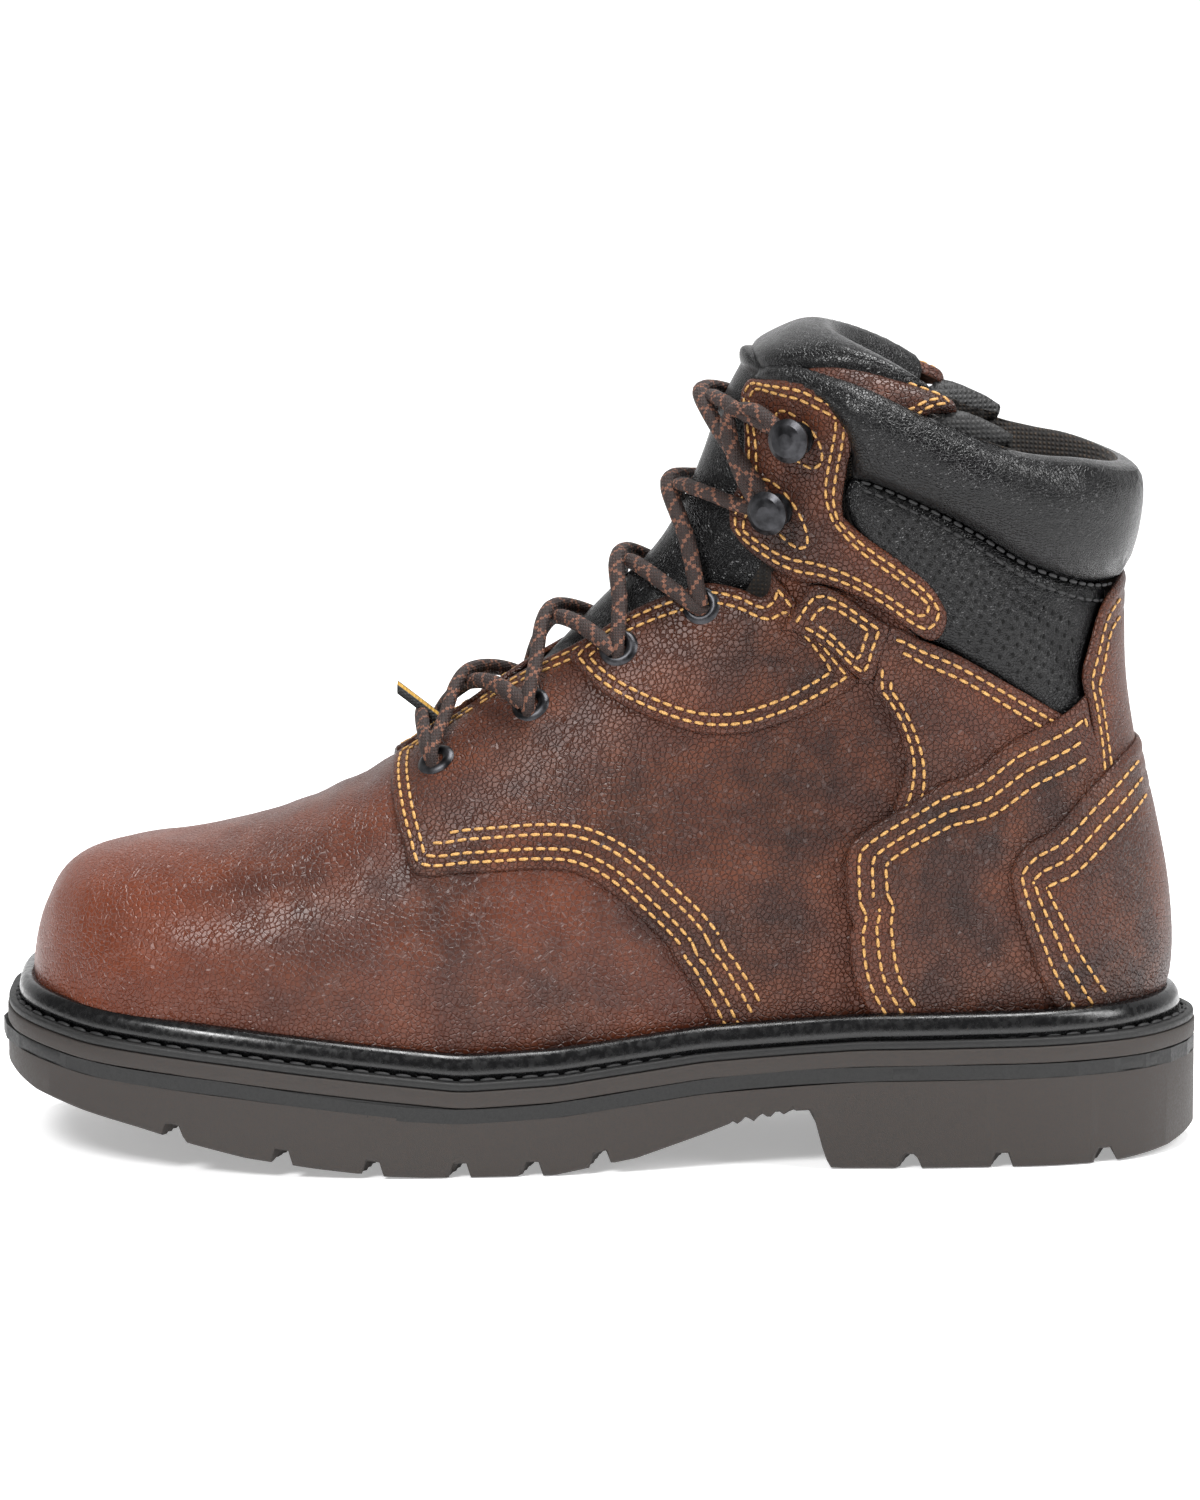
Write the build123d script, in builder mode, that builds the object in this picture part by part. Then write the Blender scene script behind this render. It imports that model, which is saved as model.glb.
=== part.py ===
"""Steel toe work boot, left foot, size 9 to 10, 6-inch shaft.

Millimetres. Toe towards -X, heel towards +X, lateral side towards -Y, +Z up.
The origin is on the ground under the middle of the boot.

The upper hangs on one form, the last. Its sections are planes that stand across the toe and
fan round over the instep and up the shaft. Every leather piece is a faceted panel between two
heights above that form, so the pieces lie on each other in layers as they do on the real boot.
"""
from build123d import *
import os
from math import cos, sin, radians, hypot
import numpy as np

# ------------------------------------------------------------------ driving dimensions
FOOTPRINT = [  # edge of the sole, seen from above
    (-155, 8), (-150.5, -22), (-135, -39), (-105, -51), (-70, -55.5), (-30, -54), (10, -48.5),
    (50, -43.5), (90, -42.5), (122, -38), (143, -26), (155, 1.5), (143, 29), (122, 41.5), (90, 45),
    (50, 44), (10, 47), (-30, 52.5), (-70, 55.5), (-105, 55), (-135, 49), (-150.5, 36),
]
UPPER_OUTLINE = [  # outermost leather just above the welt, seen from above
    (-148.9, 8), (-145, -18.7), (-132, -33), (-105, -44.4), (-70, -48.9), (-30, -47.7), (10, -43.2),
    (50, -39), (90, -37.6), (118, -33.7), (136, -23.9), (147.9, 1.5), (136, 26.9), (118, 36.8),
    (90, 39.6), (70, 40.4), (50, 39.3), (10, 41.7), (-30, 46.4), (-70, 49.1), (-105, 48.5),
    (-132, 43.4), (-145, 33.5),
]
WELT_LINE = [  # side view of the seat of the welt: toe spring, dip at the ball, rise to the heel
    (-160, 37.5), (-132, 32.3), (-94, 28.8), (-36, 22.2), (-11, 23.4), (26, 28.4), (67, 30.9),
    (107, 31.3), (160, 32),
]
MIDSOLE_STRIP = 4.4     # rubber midsole under the welt
MIDSOLE_BLACK = 3.8     # black layer under the midsole
WELT_THICK = 2.2
BEAD_TOP = 8.2          # height of the glossy bead above the seat of the welt
BEAD_WIDE = 1.0
BEAD_GAP = 1.3           # between the leather and the bead
UPPER_FOOT = 3.2        # lower edge of the upper leathers above the seat of the welt
RIM_WIDE = 13.0         # width of the midsole rim around the cork filler
GAP = 0.3               # clearance between pieces that lie against each other
TREAD_DEPTH = 4.0
WELT_WIDE = 8.2         # from the edge of the sole to under the upper
SHANK = (98, 14, 1.6)   # length, width, thickness of the steel shank
SHANK_MIDDLE = 29.0
BEAD_JOINT_X = 26.5     # where the two ends of the bead meet, on the lateral side
STITCH_INSET = 1.0      # welt stitching: line, pitch and thread
STITCH_PITCH = 5.0
STITCH_LONG = 3.9
STITCH_THICK = 0.8
FOOTBED_INSET = 13.5
FOOTBED_THICK = 5.0
CAP_END = 5.3           # station of the rear edge of the steel cap
LACE_CREST = 11.0       # height of the laces over the ridge of the last
TAG_LONG = 9.5
TAG_WIDE = 9.0
TAG_LOOP = 3.4          # radius of the loop that holds the tag on the lowest lace
TAG_TILT = radians(38)

# The last: front (x, z), back (x, z), half width, height share of the widest point, and
# squareness of the lower and of the upper half of each section.
LAST = [
    (-146.6, 37.9, -113.0, 33.0, 42.0, 0.12, 7.0, 2.3),    # edge of the toe, lying on the welt
    (-146.1, 49.0, -107.5, 31.2, 43.0, 0.14, 7.0, 2.25),
    (-143.4, 60.5, -106.0, 29.8, 43.5, 0.16, 7.0, 2.2),
    (-136.0, 71.2, -104.0, 29.0, 44.0, 0.20, 7.0, 2.3),    # crown of the toe
    (-121.0, 76.4, -101.0, 28.8, 44.5, 0.28, 7.0, 2.35),
    (-104.0, 78.9, -95.0, 28.3, 45.5, 0.33, 7.0, 2.3),     # middle of the steel cap
    (-85.0, 83.8, -84.0, 27.0, 46.3, 0.34, 7.0, 2.25),
    (-66.0, 91.4, -65.0, 25.2, 46.5, 0.32, 7.0, 2.2),      # ball of the foot
    (-42.0, 105.5, -36.0, 23.0, 44.0, 0.30, 7.0, 2.1),     # foot of the throat
    (-19.0, 122.5, 0.0, 24.6, 40.0, 0.28, 7.0, 2.0),
    (1.0, 138.0, 40.0, 29.6, 36.0, 0.28, 7.0, 2.0),        # instep
    (14.5, 150.0, 80.0, 31.6, 33.5, 0.30, 6.5, 2.0),
    (22.5, 161.0, 116.0, 32.0, 31.5, 0.34, 4.5, 2.1),      # instep to heel seat
    (27.5, 171.5, 138.0, 38.5, 30.5, 0.40, 2.4, 2.2),
    (31.0, 181.0, 140.5, 62.0, 30.5, 0.46, 2.2, 2.3),      # bulge of the heel
    (34.0, 189.0, 135.5, 90.0, 31.5, 0.50, 2.2, 2.4),
    (37.0, 196.0, 130.5, 118.0, 33.5, 0.50, 2.2, 2.4),     # ankle
    (40.0, 201.5, 129.5, 147.0, 36.0, 0.50, 2.2, 2.4),
    (44.0, 206.0, 133.5, 177.0, 38.5, 0.50, 2.2, 2.4),     # top of the collar
    (60.0, 213.0, 136.0, 176.0, 33.0, 0.50, 2.2, 2.4),     # top of the tongue
]
TOE_SWING = 8.0         # how far the toe tip lies to the medial side
HEEL_SWING = 1.5        # the same for the heel

# Heights above the last, inner face and outer face, of each layer of the upper.
LINING = (-1.6, -0.3)
STEEL = (-2.2, -0.3)
CAP_LINING = (-4.3, -3.0)
VAMP = (0.2, 1.2)
BACKER = (0.3, 1.2)
QUARTER = (2.0, 3.4)
STAY = (4.0, 5.2)
OVERLAY = (5.8, 6.9)
COUNTER = (7.5, 8.5)
GUSSET = (-3.6, -2.8)
TONGUE = (-5.8, -4.5)
TONGUE_PAD = (-9.4, -6.5)
TONGUE_LINING = (-10.5, -9.7)

BEHIND_VAMP = [  # side view of what the quarters cover, cut from the vamp
    (-42, 150), (-40, 88), (-6, 88), (8, 82), (24, 66), (41, 20), (90, 20), (90, 150),
]
COLLAR_CUT = [  # side view of the collar window, cut from the quarters
    (66, 230), (66, 146), (78, 137), (88, 134), (118, 117), (165, 92), (165, 230),
]

LATERAL = 1
MEDIAL = -1
FOOT = "foot"            # stands for the lower edge of the upper in a span
WRAP = "wrap"            # the same edge on the other side
TOE_EDGE_ANGLE = 60
ANGLE_STEP = 12          # lattice of the facets, in degrees
CORD_RINGS = 10          # facets along and round a lace
CORD_SIDES = 6
LAYER_GAP = 0.05         # between one sole layer and the next
SEAT_GAP = 0.25          # under the metal fittings
GROOVE_WIDE = 5.0        # tread groove
EYELET_FLANGE = 5.2      # radii of an eyelet
EYELET_BORE = 2.1
EYELET_BARREL = 2.6
POST_RADIUS = 1.8        # lace hook: post, base and dome radii, height of the dome's rim
HOOK_BASE = 4.3
DOME_RADIUS = 5.7
DOME_SEAT = 5.2
DOME_RISE = 2.0
LACE_RADIUS = 1.9
BOARD_LOW = 0.2          # insole board, heights above the seat of the welt
BOARD_TOP = 2.7
BOARD_INSET = 5.2
FOOTBED_LOW = 3.0
LEATHER_FLOOR = 3.0      # lower end of the leathers and of the linings above the seat of the welt
LINING_FLOOR = 8.5
RIVET_END = -1.0         # inner end of eyelets and hook posts
BELOW_ALL = -40
PLAN_SIDES = 72          # flat sides round the sole
WELT_SIDES = 26          # flat stretches along the welt

os.makedirs("parts", exist_ok=True)


def save(builder, name):
    """Label a finished piece and write its STEP file."""
    builder.part.label = name
    export_step(builder.part, f"parts/{name}.step")


# ------------------------------------------------------------------ the last as a surface
def second_derivatives(rows):
    """Second derivatives of a natural cubic spline through evenly spaced rows."""
    count = len(rows)
    matrix = np.eye(count)
    right = np.zeros_like(rows)
    for i in range(1, count - 1):
        matrix[i, i - 1:i + 2] = (1 / 6, 4 / 6, 1 / 6)
        right[i] = rows[i + 1] - 2 * rows[i] + rows[i - 1]
    return np.linalg.solve(matrix, right)


STATIONS = np.array(LAST, dtype=float)
BENDS = second_derivatives(STATIONS)


def station(t):
    """The last's measures at a station number, between stations by cubic spline."""
    i = min(int(t), len(STATIONS) - 2)
    after = t - i
    before = 1 - after
    return (before * STATIONS[i] + after * STATIONS[i + 1]
            + ((before**3 - before) * BENDS[i] + (after**3 - after) * BENDS[i + 1]) / 6)


def section_plane(t):
    """Plane of a section: x runs from the back to the front point, y runs to the lateral side."""
    front_x, front_z, back_x, back_z = station(t)[:4]
    along = Vector(front_x - back_x, 0, front_z - back_z)
    return Plane(origin=(back_x, 0, back_z), x_dir=along, z_dir=along.cross(Vector(0, -1, 0)))


def middle_y(x):
    """Centre line of the last seen from above."""
    toe = max(0.0, (-60 - x) / 87)
    heel = min(max(0.0, (x + 20) / 130), 1.0)
    return TOE_SWING * toe**2 + HEEL_SWING * heel


def section_point(t, angle, height):
    """Point of a section in its own plane.

    Angle 0 is the back or the bottom, 180 is the ridge, and lateral angles are positive.
    """
    front_x, front_z, back_x, back_z, half, share, low, top = station(t)
    length = hypot(front_x - back_x, front_z - back_z)
    up = cos(radians(angle))
    out = sin(radians(angle))
    power = low if up > 0 else top
    rise = abs(up) ** (2 / power)
    reach = share - share * rise if up > 0 else share + (1 - share) * rise
    along = reach * (length + 2 * height) - height
    width = (half + height) * abs(out) ** (2 / power)
    world_x = back_x + (front_x - back_x) * along / length
    return Vector(along, (width if out > 0 else -width) - middle_y(world_x))


def skin_point(t, angle, height):
    """Point of the last's surface in the boot's frame, at a height above it."""
    local = section_point(t, angle, height)
    return section_plane(t).from_local_coords(local)


def skin_location(t, angle, height):
    """Place on the surface whose z axis is the outward normal and whose x axis runs up the boot."""
    centre = skin_point(t, angle, height)
    up = skin_point(t + 0.1, angle, height) - skin_point(t - 0.1, angle, height)
    across = skin_point(t, angle + 3, height) - skin_point(t, angle - 3, height)
    normal = up.cross(across).normalized()
    outwards = skin_point(t, angle, height + 1) - centre
    if normal.dot(outwards) < 0:
        normal = -normal
    return Plane(origin=centre, x_dir=up, z_dir=normal)


welt_edge = Spline(*[(x, 0, z) for x, z in WELT_LINE])
WELT_SAMPLES = [welt_edge.position_at(k / WELT_SIDES) for k in range(WELT_SIDES + 1)]


def welt_z(x):
    """Height of the seat of the welt at x."""
    return float(np.interp(x, [p.X for p in WELT_SAMPLES], [p.Z for p in WELT_SAMPLES]))


def foot_angle(t, height):
    """Angle at which a section reaches the lower edge of the upper leathers."""
    if t < 0.5:
        return TOE_EDGE_ANGLE
    low, high = 5.0, 95.0
    for _ in range(24):
        middle = (low + high) / 2
        point = skin_point(t, middle, height)
        if point.Z < welt_z(point.X) + UPPER_FOOT:
            low = middle
        else:
            high = middle
    return high


# ------------------------------------------------------------------ builders of repeated forms
def faceted_solid(triangles):
    """Closed solid with a flat face on every triangle."""
    return Solid(Shell([Face(Wire.make_polygon(triangle, close=True)) for triangle in triangles]))


def row_angles(first, last):
    """Angles of the corners in one row: every lattice angle between the two ends."""
    count = int(360 / ANGLE_STEP)
    inner = [k * ANGLE_STEP for k in range(-count, 2 * count)]
    margin = ANGLE_STEP / 4
    return [first] + [a for a in inner if first + margin < a < last - margin] + [last]


def strip(row_a, row_b):
    """Triangles between two rows of (angle, ...) corners, as index pairs into each row."""
    triangles = []
    i = j = 0
    while i < len(row_a) - 1 or j < len(row_b) - 1:
        step_a = j == len(row_b) - 1 or (i < len(row_a) - 1 and row_a[i + 1] <= row_b[j + 1])
        if step_a:
            triangles.append(((0, i), (0, i + 1), (1, j)))
            i += 1
        else:
            triangles.append(((0, i), (1, j + 1), (1, j)))
            j += 1
    return triangles


def row_ends(t, span, layer):
    """End angles and heights of a span, its FOOT and WRAP ends resolved at station t."""
    low, high = span[3:] if len(span) > 3 else layer
    first = foot_angle(t, high) if span[1] == FOOT else span[1]
    last = 360 - foot_angle(t, high) if span[2] == WRAP else span[2]
    return first, last, low, high


def filled_spans(spans, layer):
    """Spans at every half station between the given ones, angles and heights in between."""
    rows = []
    for before, after in zip(spans, spans[1:]):
        t0, t1 = before[0], after[0]
        between = [k / 2 for k in range(0, 40) if t0 + 0.1 < k / 2 < t1 - 0.1]
        for t in [t0] + between:
            share = (t - t0) / (t1 - t0)
            ends = (row_ends(t, before, layer), row_ends(t, after, layer))
            rows.append((t, *[a + (b - a) * share for a, b in zip(*ends)]))
    t = spans[-1][0]
    rows.append((t, *row_ends(t, spans[-1], layer)))
    return rows


def leather(spans, layer, side=LATERAL):
    """Panel between two heights above the last. A span is station, first angle, last angle.

    A span may carry its own pair of heights as two more numbers.
    """
    rows = filled_spans(spans, layer)
    angles = [row_angles(first, last) for t, first, last, low, high in rows]
    outer = [[skin_point(row[0], side * a, row[4]) for a in line] for row, line in zip(rows, angles)]
    inner = [[skin_point(row[0], side * a, row[3]) for a in line] for row, line in zip(rows, angles)]
    triangles = []
    for k in range(len(rows) - 1):
        for corners in strip(angles[k], angles[k + 1]):
            triangles.append([outer[k + r][c] for r, c in corners])
            triangles.append([inner[k + r][c] for r, c in reversed(corners)])
    rim = [(0, c) for c in range(len(outer[0]))]
    rim += [(r, -1) for r in range(1, len(outer))]
    rim += [(len(outer) - 1, c) for c in range(len(outer[-1]) - 2, -1, -1)]
    rim += [(r, 0) for r in range(len(outer) - 2, 0, -1)]
    for (r0, c0), (r1, c1) in zip(rim, rim[1:] + rim[:1]):
        triangles.append([outer[r0][c0], inner[r0][c0], inner[r1][c1]])
        triangles.append([outer[r0][c0], inner[r1][c1], outer[r1][c1]])
    return faceted_solid(triangles)


def plan_curve(outline, grow):
    """Corners along a smooth closed plan outline grown by an amount."""
    with BuildLine() as curve:
        Spline(*outline, periodic=True)
    edge = curve.line.edge()
    corners = []
    for k in range(PLAN_SIDES):
        run = edge % (k / PLAN_SIDES)
        corners.append(edge @ (k / PLAN_SIDES) + Vector(run.Y, -run.X) * grow)
    return corners


def plan_prism(outline, grow=0.0):
    """Tall prism over a closed plan outline grown by an amount."""
    with BuildPart() as prism:
        with BuildSketch(Plane.XY.offset(-5)):
            with BuildLine():
                Polyline(*plan_curve(outline, grow), close=True)
            make_face()
        extrude(amount=80)
    return prism.part


def welt_band(low, high):
    """Slab across the boot between two heights above the seat of the welt."""
    with BuildPart() as band:
        with BuildSketch(Plane.XZ):
            with BuildLine():
                top = Polyline(*[(p.X, p.Z + high) for p in WELT_SAMPLES])
                bottom = Polyline(*[(p.X, p.Z + low) for p in WELT_SAMPLES])
                Line(top @ 1, bottom @ 1)
                Line(bottom @ 0, top @ 0)
            make_face()
        extrude(amount=80, both=True)
    return band.part


def ring_piece(low, high, outline, outer_grow, inner_grow):
    """Ring that follows an outline in plan and the welt in side view."""
    with BuildPart() as ring:
        add(plan_prism(outline, outer_grow))
        add(plan_prism(outline, inner_grow), mode=Mode.SUBTRACT)
        add(welt_band(low, high), mode=Mode.INTERSECT)
    return ring


def side_prism(outline):
    """Prism right across the boot over a side view outline of straight lines."""
    with BuildPart() as prism:
        with BuildSketch(Plane.XZ):
            with BuildLine():
                Polyline(*outline, close=True)
            make_face()
        extrude(amount=80, both=True)
    return prism.part


def cut_below(floor):
    """Remove what the open part has below a height above the seat of the welt."""
    add(welt_band(BELOW_ALL, floor), mode=Mode.SUBTRACT)


def both_sides(name, spans, layer, floor=None):
    """Save the lateral and the medial copy of a panel, cut off at the floor if there is one."""
    for side, label in ((LATERAL, "lateral"), (MEDIAL, "medial")):
        with BuildPart() as piece:
            add(leather(spans, layer, side))
            if floor:
                cut_below(floor)
        save(piece, f"{name}_{label}")


# ------------------------------------------------------------------ sole
SOLE_TOP = -(MIDSOLE_STRIP + MIDSOLE_BLACK)
BREAST_X = 58.0         # front of the heel block
HEEL_END = 132.0


def outsole_profile():
    """Side view of the outsole: rockered forefoot, arch, heel block."""
    with BuildLine() as line:
        Polyline(
            *[(p.X, p.Z + SOLE_TOP) for p in WELT_SAMPLES],
            (160, 5.5), (147, 1.6), (HEEL_END, 0), (BREAST_X, 0), (52, 15.2), (34, 14.0), (26, 9.5),
            (9, 3.8), (-12, 0), (-55, 0), (-73, 2.4), (-91, 4.9), (-104, 7.8), (-119, 11.6),
            (-133, 14.6), (-146, 17.9), (-160, 24.5), close=True,
        )
    return line


FOREFOOT_GROOVES = (-128, -108.5, -80, -57.5, -35, -12)
HEEL_GROOVES = (80, 101.5, 122)


def tread_cutter(centre_x, middle_gap):
    """Plan outline of one V-shaped tread groove, open at both edges of the sole."""
    with BuildSketch(Plane.XY.offset(-5)) as groove:
        for side in (-1, 1):
            with BuildLine():
                Polyline(
                    (centre_x - GROOVE_WIDE / 2, side * 70),
                    (centre_x + GROOVE_WIDE / 2, side * 70),
                    (centre_x + GROOVE_WIDE / 2 + 9, side * middle_gap),
                    (centre_x - GROOVE_WIDE / 2 + 9, side * middle_gap),
                    close=True,
                )
            make_face()
    return groove.sketch


with BuildPart() as tread_zone:
    with BuildSketch(Plane.XZ):
        add(outsole_profile())
        make_face()
    extrude(amount=80, both=True)
    with BuildSketch(Plane.XZ):
        with Locations((0, TREAD_DEPTH)):
            add(outsole_profile())
            make_face()
    extrude(amount=80, both=True, mode=Mode.SUBTRACT)

with BuildPart() as grooves:
    for groove_x in FOREFOOT_GROOVES:
        add(tread_cutter(groove_x, 6))
        extrude(amount=60)
    for groove_x in HEEL_GROOVES:
        add(tread_cutter(groove_x, 5))
        extrude(amount=60)
    add(tread_zone.part, mode=Mode.INTERSECT)

with BuildPart() as outsole:
    with BuildSketch(Plane.XZ):
        add(outsole_profile())
        make_face()
    extrude(amount=80, both=True)
    add(plan_prism(FOOTPRINT), mode=Mode.INTERSECT)
    add(grooves.part, mode=Mode.SUBTRACT)
save(outsole, "outsole")

# ------------------------------------------------------------------ midsole, welt and bead

with BuildPart() as midsole_black:
    add(plan_prism(FOOTPRINT))
    add(welt_band(SOLE_TOP + LAYER_GAP, -MIDSOLE_STRIP), mode=Mode.INTERSECT)
save(midsole_black, "midsole_black_layer")

save(ring_piece(LAYER_GAP - MIDSOLE_STRIP, 0, FOOTPRINT, 0, -RIM_WIDE), "midsole_rim")

with BuildPart() as filler:
    add(plan_prism(FOOTPRINT, -RIM_WIDE - GAP))
    add(welt_band(LAYER_GAP - MIDSOLE_STRIP, 0), mode=Mode.INTERSECT)
    with BuildSketch(Plane.XY.offset(-5)):
        with Locations((SHANK_MIDDLE, 0)):
            Rectangle(SHANK[0] + 2 * GAP, SHANK[1] + 2 * GAP)
    extrude(amount=60, mode=Mode.SUBTRACT)
save(filler, "cork_filler")

with BuildPart() as shank:
    with BuildSketch(Plane.XY.offset(-5)):
        with Locations((SHANK_MIDDLE, 0)):
            RectangleRounded(SHANK[0], SHANK[1], SHANK[1] / 2 - 0.5)
    extrude(amount=60)
    add(welt_band(-SHANK[2] - 1, -1), mode=Mode.INTERSECT)
save(shank, "steel_shank")

save(ring_piece(LAYER_GAP, WELT_THICK, FOOTPRINT, 0, -WELT_WIDE), "welt")

with BuildPart() as bead:
    add(ring_piece(WELT_THICK + LAYER_GAP, BEAD_TOP, UPPER_OUTLINE, BEAD_WIDE + BEAD_GAP, BEAD_GAP).part)
    with BuildSketch(Plane.XY.offset(-5)):
        with Locations((BEAD_JOINT_X, -45)):
            Rectangle(0.4, 30)
    extrude(amount=80, mode=Mode.SUBTRACT)
save(bead, "welt_bead")

with BuildLine() as stitch_line:
    Polyline(*plan_curve(FOOTPRINT, -STITCH_INSET), close=True)
stitch_wire = stitch_line.wire()
stitch_count = round(stitch_wire.length / STITCH_PITCH)

with BuildPart() as welt_stitching:
    for k in range(stitch_count):
        at = stitch_wire.position_at(k / stitch_count)
        run = stitch_wire.tangent_at(k / stitch_count)
        slope = (welt_z(at.X + 1) - welt_z(at.X - 1)) / 2
        seat = Vector(at.X, at.Y, welt_z(at.X) + WELT_THICK + STITCH_THICK / 2 + GAP)
        along = Vector(run.X, run.Y, slope * run.X)
        across = Vector(-run.Y, run.X, 0)
        with BuildSketch(Plane(origin=seat, x_dir=across, z_dir=along).offset(-STITCH_LONG / 2)):
            Ellipse(STITCH_THICK * 0.8, STITCH_THICK / 2)
        extrude(amount=STITCH_LONG)
save(welt_stitching, "welt_stitching")

# ------------------------------------------------------------------ insole
with BuildPart() as insole_board:
    add(plan_prism(UPPER_OUTLINE, -BOARD_INSET))
    add(welt_band(BOARD_LOW, BOARD_TOP), mode=Mode.INTERSECT)
save(insole_board, "insole_board")

with BuildPart() as footbed:
    add(plan_prism(UPPER_OUTLINE, -FOOTBED_INSET))
    add(welt_band(FOOTBED_LOW, FOOTBED_LOW + FOOTBED_THICK), mode=Mode.INTERSECT)
save(footbed, "footbed")

# ------------------------------------------------------------------ toe: vamp, steel cap, lining
with BuildPart() as vamp:
    add(leather([(t, FOOT, WRAP) for t in (0, 1, 2, 3, 4, 5, 6, 7, 8, 9, 9.8)], VAMP))
    add(side_prism(BEHIND_VAMP), mode=Mode.SUBTRACT)
    cut_below(LEATHER_FLOOR)
save(vamp, "vamp")

with BuildPart() as steel_toe_cap:
    add(leather([(t, FOOT, WRAP) for t in (0, 1, 2, 3, 4, CAP_END)], STEEL))
    cut_below(LEATHER_FLOOR)
save(steel_toe_cap, "steel_toe_cap")

with BuildPart() as vamp_lining:
    under_cap = [(t, FOOT, WRAP, *CAP_LINING) for t in (0, 1, 2, 3, 4, CAP_END + 0.3)]
    behind_cap = [(t, FOOT, WRAP, *LINING) for t in (CAP_END + 0.9, 7, 7.8)]
    add(leather(under_cap + behind_cap, LINING))
save(vamp_lining, "vamp_lining")

# ------------------------------------------------------------------ quarters and what lies on them
EYELETS = [(7.97, 154.5), (8.99, 152), (10.05, 149.5), (11.4, 145)]     # station, angle
HOOKS = [(14.2, 133), (16.2, 128)]

both_sides("quarter_lining", [
    (8.0, FOOT, 172), (9, FOOT, 166), (10, FOOT, 164), (11, FOOT, 160), (12, FOOT, 151),
    (12.4, FOOT, 150), (12.8, 2, 150), (14, 2, 151), (15, 2, 153), (16, 2, 156), (17, 2, 148),
    (18, 2, 126),
], LINING, LINING_FLOOR)

both_sides("interlining", [
    (10.3, 92, 138), (11, 82, 134), (12, 84, 134), (13, 86, 138), (13.6, 88, 145), (14.5, 100, 146),
    (15.2, 107, 146), (16, 113, 148), (17, 115, 140),
], BACKER)

for side, label in ((LATERAL, "lateral"), (MEDIAL, "medial")):
    with BuildPart() as quarter:
        add(leather([
            (7.65, 135, 172), (7.9, 121, 172), (8.5, 117, 170), (9, 113, 167), (9.3, 105, 165.5),
            (9.6, 93, 165), (9.85, 74, 164), (10.1, FOOT, 163), (11, FOOT, 160), (12, FOOT, 151),
            (12.4, FOOT, 149), (12.8, 3, 148), (14, 3, 150), (15, 3, 151), (16.2, 3, 155),
            (17, 3, 146), (17.5, 3, 134),
        ], QUARTER, side))
        add(side_prism(COLLAR_CUT), mode=Mode.SUBTRACT)
        cut_below(LEATHER_FLOOR)
    save(quarter, f"quarter_{label}")

both_sides("eyestay", [
    (9.5, 150, 163), (10.07, 137, 161), (10.56, 126, 158), (11.5, 120, 149), (12.2, 117, 139),
    (12.75, 113, 127),
], STAY)

both_sides("hook_facing", [
    (12.95, 134, 150), (13.6, 121, 151), (14.2, 107, 152), (14.9, 98, 152), (15.4, 105, 153),
    (16.2, 112, 157), (17, 116, 149), (17.6, 120, 136),
], STAY)

both_sides("ankle_panel", [
    (12.1, 94, 110), (12.6, 84, 109), (13, 78, 108), (13.5, 70, 111), (14, 60, 103), (14.6, 50, 89),
    (15.2, 42, 56),
], STAY)

both_sides("strap_patch", [(12.3, 126, 134), (12.8, 113, 130), (13.2, 111, 121)], OVERLAY)

both_sides("heel_overlay", [
    (10.95, FOOT, 76), (11.35, FOOT, 96), (12, FOOT, 88), (12.6, 36, 80), (13.2, 28, 72),
    (14, 28, 61), (14.8, 28, 50), (15.5, 28, 38),
], OVERLAY, LEATHER_FLOOR)

both_sides("gusset", [(8.6, 150, 166), (10, 142, 160), (12, 134, 150), (13.5, 130, 150),
                      (15, 126, 150)], GUSSET)

# ------------------------------------------------------------------ heel and collar
with BuildPart() as heel_stiffener:
    add(leather([(12.75, -78, 78), (13.3, -74, 74), (14, -58, 58), (15, -36, 36), (15.6, -22, 22)],
                BACKER))
    cut_below(LINING_FLOOR)
save(heel_stiffener, "heel_stiffener")

with BuildPart() as heel_counter:
    add(leather([(12.75, -78, 78), (13.1, -78, 78), (13.9, -61, 61), (14.7, -43, 43),
                 (15.35, -14, 14)], COUNTER))
    cut_below(LEATHER_FLOOR)
save(heel_counter, "heel_counter")

with BuildPart() as back_strip:
    add(leather([(15.55, -27, 27), (16, -29, 29), (16.65, -31, 31)], COUNTER))
save(back_strip, "back_strip")

both_sides("collar_panel", [
    (14.7, 62, 88), (15.2, 40, 98), (15.7, 34, 103), (16.2, 6, 107), (16.7, 4, 108),
], BACKER)

ROLL_END = 105      # angle where the roll ends behind the facing
ROLL_SPANS = [(16.9, 3.0), (17.2, 6.8), (17.6, 7.2), (17.98, 4.4)]      # station, height
with BuildPart() as collar_foam:
    add(leather([(t, -ROLL_END, ROLL_END, 0.3, high - 1.6) for t, high in ROLL_SPANS], BACKER))
save(collar_foam, "collar_foam")

with BuildPart() as collar_roll:
    add(leather([(t, -ROLL_END, ROLL_END, high - 1.1, high) for t, high in ROLL_SPANS], BACKER))
save(collar_roll, "collar_roll")

# ------------------------------------------------------------------ tongue
TONGUE_HALF_ANGLE = {8.1: 26, 9: 29, 10: 32, 11: 35, 12: 39, 13: 44, 14: 49, 15: 55, 16: 63,
                     17: 73, 18: 82, 19: 88}


def tongue_layer(name, layer, first, last, inset):
    """One layer of the tongue, narrower than the tongue itself by inset degrees a side."""
    halves = {t: half - inset for t, half in TONGUE_HALF_ANGLE.items() if first <= t <= last}
    with BuildPart() as tongue:
        add(leather([(t, 180 - half, 180 + half) for t, half in halves.items()], layer))
    save(tongue, name)


tongue_layer("tongue", TONGUE, 8.1, 19, 0)
tongue_layer("tongue_padding", TONGUE_PAD, 10, 19, 3)
tongue_layer("tongue_lining", TONGUE_LINING, 9, 19, 1)

# ------------------------------------------------------------------ eyelets, hooks and laces


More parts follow.
